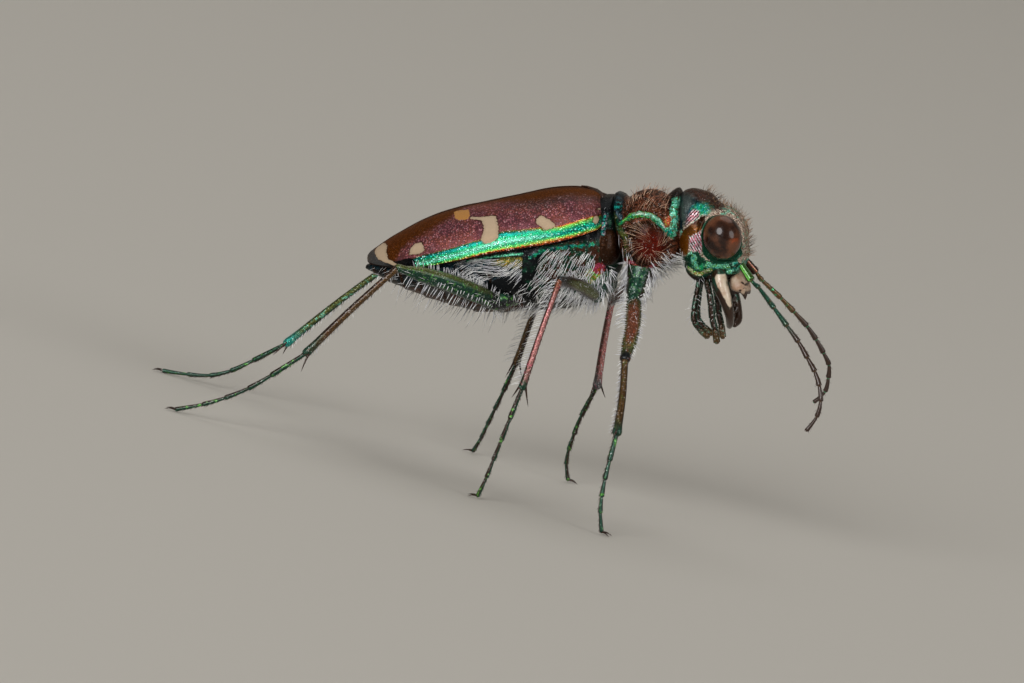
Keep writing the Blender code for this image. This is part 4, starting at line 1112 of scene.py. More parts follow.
def case_finish(tones):
    """Finish of the wing cases: granules with painted glitter and painted glints, a painted grey sheen near the front,
    pale markings and the bright band along the side.
    """
    look = Finish("wing_case_finish", specular_ior_level=0.2, specular_tint=(0.9, 0.5, 0.25, 1.0))
    dots = 1 - look.step(look.cells(15.0), 0.14, 0.60)
    chance = look.cells(15.0, "Color")
    first, second = look.channel(chance, 0), look.channel(chance, 1)
    waver = look.noise(6.0, 4.0) - 0.5
    ragged = waver * 0.16 + (first - 0.5) * 0.10
    ground = look.mix(look.step(look.noise(1.6, 3.0), 0.38, 0.64), tones.plum, tones.maroon)
    ground = look.mix(look.step(second, 0.55, 0.92) * 0.55, ground, tones.rose)
    ground = look.mix(look.step(first, 0.78, 0.95) * 0.40, ground, tones.slate)
    # A painted grey sheen of russet and slate on the top of the cases near the seam, towards the front
    painted_sheen = (1 - look.step(look.field("brown") + waver, 0.25, 0.75)) * (1 - look.step(look.field("way"), 2.2, 3.8))
    ground = look.mix(painted_sheen * 0.65, ground, look.mix(look.noise(5.0), tones.russet, tones.slate))
    brown = 1 - look.step(look.field("brown") + ragged * 2.0, -0.35, 0.30)
    seam_brown = look.mix(look.step(look.field("suture"), 0.0, 0.6), tones.umber, tones.brown)
    ground = look.mix(brown * 0.94, ground, seam_brown)
    # Painted glitter: each granule lighter at its middle and darker at its rim, by a random amount
    grains = dots * (0.25 + first * 1.35)
    ground = look.tint(ground, 0.52 + grains * (1.0 - brown * 0.50))
    # Painted glints of the spark colour on some granules
    ground = look.mix(look.step(second, 0.86, 0.98) * dots * (0.40 - brown * 0.34), ground, tones.spark)
    band = look.field("across_band") + ragged * 0.7
    place = (band + 0.5) / 2.5
    fore = look.ramp(place, (
        (0.17, tones.maroon), (0.198, tones.ember), (0.225, tones.gold), (0.27, tones.leaf),
        (0.35, tones.emerald), (0.45, tones.teal), (0.52, tones.emerald), (0.56, tones.leaf),
        (0.59, tones.gold), (0.62, tones.ember), (0.66, tones.ember), (0.69, tones.umber), (0.72, tones.night),
    ))
    rear = look.ramp(place, (
        (0.175, tones.plum), (0.20, tones.olive), (0.225, tones.pine), (0.29, tones.teal),
        (0.38, tones.emerald), (0.47, tones.jade), (0.56, tones.emerald), (0.62, tones.leaf),
        (0.64, tones.gold), (0.655, tones.ember), (0.685, tones.umber), (0.71, tones.night),
    ))
    stripes = look.mix(look.step(look.field("way") + waver * 1.2, 1.2, 3.0), fore, rear)
    # Painted glitter on the band's granules, and painted pale glints on some of them
    stripes = look.tint(stripes, 0.50 + grains * 1.50)
    bright = look.tint(look.mix(0.35, stripes, (1.0, 1.0, 1.0)), 1.6)
    stripes = look.mix(look.step(second, 0.55, 0.92) * dots * 0.8, stripes, bright)
    inside = look.step(band, -0.10, 0.0)
    colour = look.mix(inside, ground, stripes)
    edge = waver * 0.10 + (first - 0.5) * 0.03
    ochre = 1 - look.step(look.field("ochre") + edge, -0.015, 0.03)
    cream = 1 - look.step(look.field("cream") + edge, -0.012, 0.022)
    apex = 1 - look.step(look.field("apex") + edge, -0.03, 0.03)
    halo = (1 - look.step(look.field("cream") + edge, 0.02, 0.08)) * 0.7
    colour = look.mix(halo, colour, tones.umber)
    rim = look.mix(look.step(look.field("way"), 7.3, 7.9), tones.night, tones.slate)
    colour = look.mix(apex, colour, look.tint(rim, 0.75 + grains * 0.4))
    colour = look.mix(ochre, colour, tones.ochre)
    pale = 0.80 + look.noise(9.0) * 0.16 + look.step(0 - look.field("cream"), 0.01, 0.12) * 0.12
    colour = look.mix(cream, colour, look.tint(tones.cream, pale))
    colour = look.mix(look.step(look.field("fold"), -0.03, 0.0), tones.night, colour)
    spots = cream.math("MAXIMUM", cream, ochre)
    look.set("Base Color", colour)
    look.set("Metallic", (1 - spots) * (0.60 + inside * 0.25))
    look.set("Roughness", 0.44 + brown * 0.06 - inside * 0.12 + look.noise(13.0) * 0.08)
    look.bump(dots * (1 - spots * 0.8) + look.noise(60.0, 1.0) * 0.2, 0.012)
    return look.material


def eye_finish(tones):
    """Finish of the eyes: fine facets under a clear glossy skin, with a painted dark reflection over their middle and a
    painted amber reflection low at the front.
    """
    look = Finish("eye_finish", 0.20, coat_weight=0.5, coat_roughness=0.03, specular_ior_level=0.1)
    facets = look.cells(46.0)
    shade = look.mix(look.step(look.noise(1.6, 4.0), 0.36, 0.60), tones.eye_dark, tones.eye_light)
    waver = (look.noise(4.0, 4.0) - 0.5) * 0.5
    # Painted reflections: dark over the middle of the eye, amber low at its front
    shade = look.mix((1 - look.step(look.field("dusk") + waver, -0.16, 0.14)) * 0.8, shade, tones.eye_dark)
    shade = look.mix((1 - look.step(look.field("fleck") + waver, -0.10, 0.05)) * 0.5, shade, tones.ember)
    look.set("Base Color", look.tint(shade, 1.35 - facets * 0.8))
    look.set("Roughness", 0.14 + look.noise(12.0) * 0.08)
    look.bump(1 - facets, 0.003)
    return look.material


def jaw_finish(tones):
    """Finish of the jaws: an ivory outer face with a dark metallic rim and dark brown teeth."""
    look = Finish("jaw_finish", coat_weight=0.5, coat_roughness=0.08)
    waver = (look.noise(7.0, 3.0) - 0.5) * 0.10
    dark = look.mix(look.step(look.noise(3.0), 0.42, 0.6), tones.umber, tones.pine)
    dark = look.mix(1 - look.step(look.field("tip") + waver, -0.15, 0.35), dark, tones.horn)
    ivory = 1 - look.step(look.field("cream") + waver, -0.02, 0.03)
    pale = look.mix(look.step(look.noise(4.0), 0.4, 0.7), tones.ivory, tones.rosy_ivory)
    look.set("Base Color", look.mix(ivory, dark, pale))
    look.set("Metallic", (1 - ivory) * 0.5)
    look.set("Roughness", 0.30 + look.noise(8.0) * 0.12)
    look.bump(look.noise(9.0, 3.0), 0.015)
    return look.material


def labrum_finish(tones):
    look = Finish("labrum_finish", coat_weight=0.15, coat_roughness=0.2)
    waver = (look.noise(8.0, 3.0) - 0.5) * 0.10
    pale = look.mix(look.step(look.noise(3.5), 0.30, 0.90), tones.rosy_ivory, tones.ivory)
    dark = 1 - look.step(look.field("teeth") + waver, -0.06, 0.04)
    pores = 1 - look.step(look.field("pores"), -0.01, 0.015)
    colour = look.mix(dark, pale, tones.horn)
    look.set("Base Color", look.mix(pores, colour, tones.horn))
    look.set("Roughness", 0.42 + look.noise(8.0) * 0.12)
    look.bump(look.noise(10.0, 3.0), 0.012)
    return look.material


def limb_finish(name, core, edge, glint, shine=0.6, start=None, end=None, spur=(0, 0, 0),
                granule=0.05, turns=2, twist=0.0, patch=0.0, glints=0.7):
    """Finish of a leg or palp: one colour along its sides, one on its edges, dotted with glints of another colour, with
    painted glitter and painted white glints on its granules.

    `twist` turns the two colours round the limb, and `patch` draws the sides' colour in towards the
    middle of the limb. Spurs and claws have a colour of their own.
    """
    look = Finish(name, coat_weight=0.3, coat_roughness=0.12)
    around, along = look.map(0), look.map(1)
    sides = around.math("ABSOLUTE", around.math("SINE", (around + twist) * (turns * math.pi)))
    waver = look.noise(5.0, 3.0) - 0.5
    dots = 1 - look.step(look.cells(1 / granule), 0.16, 0.62)
    chance = look.cells(1 / granule, "Color")
    if patch:
        sides = sides - look.step((along - 0.45).math("ABSOLUTE", along - 0.45), 0.12, 0.45) * patch
    colour = look.mix(look.step(sides + waver * 0.4, *((0.40, 0.90) if turns == 2 else (0.24, 0.54))), edge, core)
    if start:
        colour = look.mix(look.step(along + waver * 0.2, 0.05, 0.34), start, colour)
    if end:
        colour = look.mix(look.step(along + waver * 0.2, 0.70, 0.95), colour, end)
    colour = look.mix(look.step(look.noise(8.0, 2.0), 0.56, 0.70) * glints, colour, glint)
    colour = look.mix(look.field("spur"), colour, spur)
    # Painted glitter: each granule lighter at its middle and darker at its rim, by a random amount
    colour = look.tint(colour, 0.60 + dots * (0.2 + look.channel(chance, 0) * 0.9))
    # Painted glints: a paler, brighter copy of the colour on some granules
    bright = look.tint(look.mix(0.4, colour, (1.0, 1.0, 1.0)), 1.5)
    look.set("Base Color", look.mix(look.step(look.channel(chance, 1), 0.78, 0.95) * dots * 0.6, colour, bright))
    look.set("Metallic", shine)
    look.set("Roughness", 0.28 + look.noise(8.0) * 0.12)
    look.bump(dots + look.noise(9.0) * 0.6, 0.007)
    return look.material


def feeler_finish(name, first, rest, glint, end):
    """Finish of an antenna: a first segment in a dark copy of its colour with painted highlight streaks, the next ones
    darker, and dull ones to the tip.
    """
    look = Finish(name, coat_weight=0.6, coat_roughness=0.1)
    place = look.field("place") + (look.noise(6.0, 2.0) - 0.5) * 0.3
    around = look.map(0)
    sides = around.math("ABSOLUTE", around.math("SINE", around * (2 * math.pi)))
    # Painted highlight: the first segment is a dark copy of its colour, with a lit copy in narrow streaks on two
    # opposite sides
    colour = look.mix(look.step(sides, 0.95, 1.0), look.tint(first, 0.20), look.tint(first, 1.4))
    colour = look.mix(look.step(place, 0.9, 1.2), colour, rest)
    colour = look.mix(look.step(place, 3.2, 5.0), colour, end)
    colour = look.mix(look.step(look.noise(7.0, 2.0), 0.56, 0.70) * (1 - look.step(place, 2.8, 4.6)) * 0.7, colour, glint)
    colour = look.mix((1 - look.step(look.field("joint"), 0.015, 0.05)) * 0.5, colour, glint)
    look.set("Base Color", look.tint(colour, 0.7 + look.noise(15.0) * 0.6))
    look.set("Metallic", 0.65 - look.step(place, 3.2, 5.0) * 0.35)
    look.set("Roughness", 0.26 + look.step(place, 3.2, 5.0) * 0.18)
    look.bump(look.cells(22.0) + look.noise(9.0) * 0.6, 0.005)
    return look.material


def toward(skin, ways):
    """A lie of bristles that changes over a skin: the same rows and columns of ways."""
    return np.stack(np.broadcast_arrays(*ways, skin.points[..., 0])[:3], -1)


def body_bristles():
    """Where bristles grow on the trunk and the head: for each piece its white, rosy or brown ones."""
    prothorax, mesothorax = SKINS["prothorax"], SKINS["mesothorax"]
    metathorax, abdomen, head = SKINS["metathorax"], SKINS["abdomen"], SKINS["head"]
    plans = {}

    x, y, z = np.moveaxis(prothorax.points, -1, 0)
    disc = smooth(z, 0.30, 0.75) * (x > 0.68) * (x < 2.05) * (0.35 + smooth(np.abs(y), 0.3, 1.0))
    dome = prothorax.fields["dome"]
    star = toward(prothorax, (x - 1.63 - 0.5 * (z + 0.5), 0 * x, z + 0.50 + 0.5 * (x - 1.63)))
    fringe = smooth(-z, 0.50, 0.90) * (dome > -0.22) * (np.abs(y) > 0.6) * (0.10 + smooth(x, 1.30, 1.60))
    plans["prothorax_disc_hairs"] = "rosy", [
        dict(skin=prothorax, count=150, where=disc, length=(0.24, 0.44), stand=0.42, curl=0.35,
         lie=toward(prothorax, (0.35 + 0 * x, -np.sign(y), 0.3)), jitter=0.22, thick=0.009),
        dict(skin=prothorax, count=220, where=dome < 0.0, length=(0.24, 0.42), stand=0.14,
         curl=0.45, lie=star, jitter=0.16, thick=0.0075),
    ]
    plans["prothorax_hairs"] = "white", [
        dict(skin=prothorax, count=150, where=fringe, length=(0.50, 0.80), stand=0.26, curl=0.1,
         lie=toward(prothorax, (1.3 * np.clip(x - 1.3, 0.0, 1.0), 0 * x, -0.8)), jitter=0.07, thick=0.015),
        dict(skin=prothorax, count=40, where=(np.abs(prothorax.fields["rear_edge"]) < 0.12) * (z < 0.1),
         length=(0.3, 0.45), stand=0.3, lie=(0.5, 0, -1.0), curl=0.2, thick=0.010),
    ]

    x, y, z = np.moveaxis(mesothorax.points, -1, 0)
    side = (np.abs(y) > 0.8) * 1.0
    plans["mesothorax_hairs"] = "white", [
        dict(skin=mesothorax, count=90, where=side * smooth(-z, 1.1, 1.4), length=(0.35, 0.6), stand=0.4,
         lie=(-0.3, 0, -1.0), curl=0.2, thick=0.011),
        dict(skin=mesothorax, count=16, where=side * (z > 0.0) * (mesothorax.fields["plate"] > 0.05),
         length=(0.15, 0.3), stand=0.3, lie=(-0.4, 0, -1.0), thick=0.009),
    ]

    x, y, z = np.moveaxis(metathorax.points, -1, 0)
    side = smooth(np.abs(y), 0.9, 1.3) * (z < -0.46) * (x < -0.3) * (metathorax.fields["behind"] > 0.05)
    plans["metathorax_hairs"] = "white", [
        dict(skin=metathorax, count=620, where=side * (z > -2.3), length=(0.28, 0.48), stand=0.14,
         lie=toward(metathorax, (-0.75 + 0.3 * np.sin(5 * z), 0 * x, -0.85)), curl=0.12, jitter=0.08, thick=0.010),
        dict(skin=metathorax, count=90, where=(metathorax.fields["behind"] < 0.0) * (z < -1.25) * (np.abs(y) > 0.8),
         length=(0.30, 0.46), stand=0.2, lie=(-0.75, 0, -0.5), curl=0.15, thick=0.010),
        dict(skin=metathorax, count=200, where=smooth(-z, 1.9, 2.3), length=(0.35, 0.60), stand=0.45,
         lie=(-0.7, 0, -0.6), curl=0.2, thick=0.013),
    ]

    x, y, z = np.moveaxis(abdomen.points, -1, 0)
    plate = abdomen.fields["coxal_plate"]
    flank = (np.abs(y) > 1.0) * (z < -0.80) * (z > -1.75) * smooth(x, -5.4, -4.2) * (x < -2.7) * (plate > 0.04)
    rear = (np.abs(y) > 0.8) * (z < -0.9) * (z > -1.9) * (x < -4.4)
    arc = (np.abs(plate - 0.10) < 0.10) * (x > -3.5) * (np.abs(y) > 0.8) * (z < -1.2)
    below = (z < -1.8) * (x < -3.4) * (x > -7.6) * (np.abs(y) < 1.6)
    plans["abdomen_hairs"] = "white", [
        dict(skin=abdomen, count=520, where=flank, length=(0.22, 0.40), stand=0.10,
         lie=toward(abdomen, (-1.0 + 0 * x, 0 * x, -0.35 - 0.5 * np.sin(3.2 * x + 1.5 * z))), curl=0.15, jitter=0.08,
         thick=0.0085),
        dict(skin=abdomen, count=70, where=rear, length=(0.2, 0.34), stand=0.2, lie=(-1, 0, -0.3),
         thick=0.009),
        dict(skin=abdomen, count=130, where=arc, length=(0.30, 0.46), stand=0.22, lie=(-0.7, 0, -0.6),
         curl=0.2, thick=0.010),
        dict(skin=abdomen, count=70, where=below, length=(0.35, 0.80), stand=0.7, lie=(-0.35, 0, -0.9),
         curl=0.15, jitter=0.10, thick=0.018),
    ]

    x, y, z = np.moveaxis(head.points, -1, 0)
    clear = smooth(eye_reach(head.points), 1.12, 1.25)
    front = (head.fields["front"] < 0) * clear
    plans["head_brown_hairs"] = "brown", [
        dict(skin=head, count=160, where=front, length=(0.20, 0.42), stand=0.75, curl=0.1,
         lie=(0.1, 0, 1.0), jitter=0.24, thick=0.008),
        dict(skin=head, count=34, where=clear * smooth(z, 0.8, 1.1) * (x > 3.2), length=(0.25, 0.42), stand=0.9,
         lie=(1, 0, 0.2), jitter=0.2, thick=0.008),
    ]
    plans["head_hairs"] = "white", [
        dict(skin=head, count=40, where=smooth(-z, 1.45, 1.6) * (x < 3.8), length=(0.15, 0.32), stand=0.6,
         lie=(0.3, 0, -1.0), curl=0.1, thick=0.009),
        dict(skin=head, count=14, where=clear * (z < -0.5) * (x < 2.75) * (np.abs(y) > 0.5), length=(0.25, 0.45),
         stand=0.35, lie=(0.8, 0, -0.5), curl=0.2, thick=0.009),
    ]
    return plans


def limb_mask(skin, rows, turn, width):
    """1 along a strip of a limb: between two places along it, round an angle from its outer side."""
    count, columns = skin.points.shape[:2]
    along = np.linspace(0, 1, count)[:, None]
    angle = np.linspace(0, 2 * math.pi, columns)[None]
    away = np.abs((angle - turn + math.pi) % (2 * math.pi) - math.pi)
    return smooth(along, rows[0] - 0.01, rows[0]) * (1 - smooth(along, rows[1], rows[1] + 0.01)) * (away < width)


def leg_bristles(pair, side):
    """White hairs and dark spines of one leg."""
    hip, femur = SKINS["hip", pair, side], SKINS["femur", pair, side]
    shin, foot = SKINS["shin", pair, side], SKINS["foot", pair, side]
    joints, thigh_outer, shin_outer = leg_ways(pair, side)
    thigh, shank = unit(joints[2] - joints[1]), unit(joints[3] - joints[2])
    down = np.array((0.1, side * 0.2, -1.0))
    near = -side if pair == "hind" else side
    rows = {
        "front": ((44, 0.03, 0.95, 0.35, 0.20, 0.34, 0.60), (22, 0.03, 0.45, 3.0, 0.36, 0.52, 0.70),
                  (38, 0.03, 0.95, 2.5, 0.16, 0.28, 0.80)),
        "middle": ((26, 0.05, 0.90, 0.0, 0.30, 0.46, 0.45), (30, 0.03, 0.92, 3.1, 0.48, 0.74, 0.80),
                   (16, 0.10, 0.80, 2.4, 0.30, 0.48, 0.60)),
        "hind": ((44, 0.05, 0.80, 0.0, 0.20, 0.30, 0.72), (30, 0.05, 0.85, 3.1, 0.30, 0.50, 0.72),
                 (18, 0.10, 0.62, 1.75, 0.14, 0.20, 0.45)),
    }[pair]
    edges = limb_mask(hip, (0.05, 1.0), 0.0, 0.7) + limb_mask(hip, (0.05, 1.0), math.pi, 0.7)
    white = [dict(skin=hip, count={"front": 130, "middle": 100, "hind": 50}[pair], where=edges,
              length=(0.32, 0.56), stand=0.4, lie=down, curl=0.25, thick=0.017)]
    for count, low, high, turn, short, long, stand in rows:
        white.append(dict(skin=femur, count=count, where=limb_mask(femur, (low, high), -turn * near, 0.16), length=(short, long),
                      stand=stand, lie=thigh if turn < 1 else thigh * 0.4 + down, curl=0.08, jitter=0.07, thick=0.017))
    fine = pair == "middle"
    white += [
        dict(skin=femur, count=16, where=limb_mask(femur, (0.08, 0.85), math.pi / 2, 0.35)
         + limb_mask(femur, (0.08, 0.85), -math.pi / 2, 0.35), length=(0.16, 0.28), stand=0.35, lie=thigh, thick=0.010),
        dict(skin=shin, count=12 if (pair, side) == ("front", LEFT) else 44,
         where=limb_mask(shin, (0.06, 0.92), -1.2 * side if fine else math.pi, 0.25),
         length=(0.32, 0.44) if fine else (0.12, 0.20), stand=0.72, lie=shank, jitter=0.05, thick=0.014),
    ]
    dark = [
        dict(skin=shin, count=28, where=limb_mask(shin, (0.05, 0.97), turn, 0.14), length=(0.10, 0.16), stand=0.36,
         lie=shank, curl=0.0, jitter=0.05, thick=0.010 if fine else 0.012)
        for turn in ((1.6 * side,) if fine else (0.3,) if (pair, side) == ("front", LEFT) else (-1.4, 1.4, math.pi))
    ] + [
        dict(skin=foot, count=120, where=limb_mask(foot, (0.05, 0.95), math.pi, 1.6)
         * (foot.points[..., 2] > 0.16), length=(0.07, 0.13), stand=0.35, lie=unit(joints[-1] - joints[3]), curl=0.0,
         droop=0.0, jitter=0.06, thick=0.009),
    ]
    return white, dark


def colour_property(name, description, default):
    return bpy.props.FloatVectorProperty(name=name, description=description, default=default, size=3,
                                         min=0.0, max=1.0, subtype="COLOR")


class BeetleColours(bpy.types.PropertyGroup):
    plum: colour_property("Plum", "Darker ground of the wing cases", sighted(130, 76, 84))
    maroon: colour_property("Maroon", "Lighter ground of the wing cases", sighted(150, 86, 80))
    rose: colour_property("Rose", "Glints among the granules of the wing cases", sighted(176, 112, 124))
    slate: colour_property("Slate", "Blue-grey glints and the margin behind the last marking", sighted(84, 88, 90))
    brown: colour_property("Brown", "Wing cases beside the seam", sighted(112, 58, 4))
    umber: colour_property("Umber", "Darkest brown, at the seam and round the markings", sighted(48, 24, 6))
    ember: colour_property("Ember", "Orange-red lines beside the green band", sighted(186, 82, 40))
    gold: colour_property("Gold", "Golden edge of the green band", sighted(192, 164, 72))
    leaf: colour_property("Leaf Green", "Yellow-green part of the band", sighted(118, 206, 84))
    emerald: colour_property("Emerald", "Middle of the green band", sighted(34, 182, 118))
    jade: colour_property("Jade", "Palest part of the green band", sighted(140, 240, 206))
    teal: colour_property("Teal", "Blue-green of the band, collars and cheeks", sighted(24, 164, 152))
    # Spark is the colour of painted glints on the wing cases' granules
    spark: colour_property("Spark", "Palest glints of the granules", sighted(214, 190, 186))
    cream: colour_property("Cream", "Pale markings of the wing cases", sighted(182, 160, 134))
    ochre: colour_property("Ochre", "The marking nearest the seam", sighted(176, 124, 66))
    night: colour_property("Blue Black", "Darkest plates", sighted(14, 20, 24))
    steel: colour_property("Steel", "Blue-grey of the crown of the head", sighted(86, 98, 96))
    deep_blue: colour_property("Deep Blue", "Sheen of the dark plates", sighted(18, 50, 60))
    pine: colour_property("Pine", "Dark green of plates and limbs", sighted(14, 70, 50))
    olive: colour_property("Olive", "Olive green of rims and limbs", sighted(96, 104, 46))
    copper: colour_property("Copper", "Coppery ground of the neck plate", sighted(130, 74, 50))
    russet: colour_property("Russet", "Darker copper", sighted(78, 42, 28))
    amber: colour_property("Amber", "Smooth brown of the temples", sighted(130, 76, 12))
    wine: colour_property("Wine", "Domes at the sides of the neck plate", sighted(104, 22, 6))
    frons: colour_property("Frons", "Coppery ground of the face", sighted(230, 206, 186))
    magenta: colour_property("Magenta", "Pink edges and streaks", sighted(204, 74, 108))
    lilac: colour_property("Lilac", "Palest of the streaks on the temples", sighted(204, 182, 190))
    mauve: colour_property("Mauve", "Pinkish shins", sighted(206, 138, 134))
    bronze: colour_property("Bronze", "Ground of the legs", sighted(96, 66, 22))
    eye_dark: colour_property("Dark Eye", "Darker part of the eyes", sighted(36, 20, 14))
    eye_light: colour_property("Light Eye", "Lighter part of the eyes", sighted(104, 62, 40))
    horn: colour_property("Horn", "Teeth, claws and spurs", sighted(56, 32, 14))
    ivory: colour_property("Ivory", "Pale face of the jaws", sighted(208, 190, 167))
    rosy_ivory: colour_property("Rosy Ivory", "Warmer part of the jaws and lip", sighted(170, 134, 108))
    white_hair: colour_property("White Hair", "Bristles of the flanks and legs", sighted(252, 252, 250))
    grey_hair: colour_property("Grey Hair", "Duller bristles among the white ones", sighted(214, 214, 220))
    rosy_hair: colour_property("Rosy Hair", "Bristles of the neck plate", sighted(222, 182, 152))
    brown_hair: colour_property("Brown Hair", "Bristles of the face", sighted(176, 136, 102))


class BeetleSizes(bpy.types.PropertyGroup):
    wall: bpy.props.FloatProperty(name="Wing Case Wall", description="Thickness of the wing cases", default=0.0001,
                                  min=0.00004, max=0.0003, unit="LENGTH", precision=6)
    seam: bpy.props.FloatProperty(name="Seam", description="Half the gap between the wing cases", default=0.000008,
                                  min=0.0, max=0.0001, unit="LENGTH", precision=6)
    fold: bpy.props.FloatProperty(name="Fold", description="Width of the fold under the wing cases' side edge", default=0.00030,
                                  min=0.0001, max=0.0005, unit="LENGTH", precision=6)


class StageSettings(bpy.types.PropertyGroup):
    floor: colour_property("Floor", "Colour of the floor and the backdrop", (0.56, 0.53, 0.475))
    key_power: bpy.props.FloatProperty(name="Key Light", description="Power of the soft light beside the camera",
                                       default=8.4, min=0.0, unit="POWER")
    side_power: bpy.props.FloatProperty(name="Side Light", description="Power of the soft light before the head",
                                        default=3.6, min=0.0, unit="POWER")
    top_power: bpy.props.FloatProperty(name="Top Light", description="Power of the wide light over the backdrop",
                                       default=4.4, min=0.0, unit="POWER")


class BEETLE_OT_wing_cases(bpy.types.Operator):
    """Shape the two wing cases and the small shield between their bases"""

    bl_idname = "beetle.wing_cases"
    bl_label = "Wing Cases"

    def execute(self, context):
        sizes, tones = context.scene.beetle_sizes, context.scene.beetle_colours
        finish = case_finish(tones)
        for name, side in SIDES.items():
            skin = SKINS["case", side] = case_skin(side, sizes.seam / MM, sizes.fold / MM)
            piece("wing_case_" + name, [skin], finish, ["elytron_" + name], sizes.wall / MM)
        shield = plate_finish("scutellum_finish", mottled(tones.umber, tones.russet, 0.15))
        piece("scutellum", [scutellum_skin()], shield, wall=0.05)
        return {"FINISHED"}


class BEETLE_OT_thorax(bpy.types.Operator):
    """Shape the neck plate and the two rings of the chest"""

    bl_idname = "beetle.thorax"
    bl_label = "Thorax"

    def execute(self, context):
        tones = context.scene.beetle_colours
        green = mottled(tones.emerald, tones.leaf, 0.10)
        blue = mottled(tones.teal, tones.emerald, 0.12)
        bright = mottled(tones.magenta, tones.ember, 0.12, 0.35)
        spots = (
            ("gold", mottled(tones.leaf, tones.gold, 0.10), 0.04, 0.20, 0.0),
            ("pink", bright, 0.03, 0.16, 0.0),
        )
        finishes = {
            "prothorax": plate_finish("prothorax_finish", mottled(tones.umber, tones.copper, 0.12, 0.5), (
                ("belly", mottled(tones.night, tones.pine, 0.3), 0.15, 0.4, 0.0),
                ("dome", mottled(tones.umber, tones.russet, 0.2, 0.3), 0.03, 0.05, 0.0),
                ("dome_middle", tones.wine, 0.26, 0.15, 0.1),
                ("rear_collar", mottled(tones.night, tones.deep_blue, 0.16), 0.05, 0.08, 0.6),
                ("collar_spot", mottled(tones.night, tones.teal, 0.09, 0.45), 0.04, 0.14, 0.2),
                ("front_rim", mottled(tones.night, tones.umber, 0.2), 0.05, 0.12, 0.4),
                ("rear_edge", mottled(tones.pine, tones.olive, 0.2), 0.03, 0.06, 0.2),
                ("front_band", mottled(mottled(blue, tones.jade, 0.08, 0.6), tones.olive, 0.10, 0.25), 0.03, 0.14, 0.0),
                ("lower_edge", bright, 0.03, 0.14, 0.0),
                ("arch", shifting(0, 1.5, 2.1, green, blue), 0.025, 0.06, 0.0),
                # A painted pale mint highlight along the top of the arch
                ("arch_core", mottled((0.75, 1.0, 0.80), tones.jade, 0.12, 0.5), 0.03, 0.08, 0.2),
                ("ember_spot", mottled(tones.ember, tones.gold, 0.06, 0.25), 0.03, 0.14, 0.0),
            ), granule=0.055, relief=0.024, painted_sparkle=0.8),
            "mesothorax": plate_finish("mesothorax_finish", mottled(tones.pine, tones.night, 0.3), (
                ("top", tones.night, 0.2, 0.3, 0.5),
                ("plate", tones.umber, 0.02, 0.03, 0.6),
                # The blue line along the front edge, with its pale lilac patches as a painted gleam
                ("blue_line", mottled(tones.deep_blue, mottled(tones.lilac, tones.teal, 0.1), 0.15), 0.03, 0.06, 0.2),
                *spots,
            ), granule=0.05, relief=0.014),
            "metathorax": plate_finish("metathorax_finish", mottled(tones.russet, tones.pine, 0.25), (
                ("high", tones.night, 0.1, 0.1, 0.5),
                ("below", tones.night, 0.25, 0.4, 0.3),
                ("behind", mottled(tones.pine, tones.night, 0.5, 0.7), 0.04, 0.04, 0.6),
                ("coxal_plate", tones.night, 0.05, 0.05, 0.9),
                ("groove", tones.night, 0.04, 0.04, 0.6),
                ("teal_line", mottled(mottled(tones.teal, tones.emerald, 0.1), tones.deep_blue, 0.25, 0.3), 0.03, 0.16, 0.0),
                *spots,
            ), granule=0.05, relief=0.016, painted_sparkle=0.6),
        }
        skins = {"prothorax": prothorax_skin(), "mesothorax": mesothorax_skin(), "metathorax": metathorax_skin()}
        for name, skin in skins.items():
            SKINS[name] = skin
            piece(name + "_plate", [skin], finishes[name], [name])
        return {"FINISHED"}


class BEETLE_OT_abdomen(bpy.types.Operator):
    """Shape the belly plates and flanks of the hind body"""

    bl_idname = "beetle.abdomen"
    bl_label = "Abdomen"

    def execute(self, context):
        tones = context.scene.beetle_colours
        skin = SKINS["abdomen"] = abdomen_skin()
        finish = plate_finish("abdomen_finish", mottled(tones.night, tones.deep_blue, 0.3), (
            ("belly", mottled(tones.russet, tones.slate, 0.4), 0.20, 0.3, 0.4),
            ("rear_edges", tones.umber, 0.03, 0.04, 0.5),
            ("flank_patch", mottled(tones.olive, tones.gold, 0.10, 0.3), 0.05, 0.12, 0.0),
            ("coxal_plate", tones.night, 0.05, 0.05, 0.9),
            ("green_line", mottled(tones.emerald, tones.jade, 0.06, 0.5), 0.02, 0.08, 0.0),
        ), granule=0.05, relief=0.010)
        piece("abdomen_plates", [skin], finish, ["abdomen"])
        return {"FINISHED"}


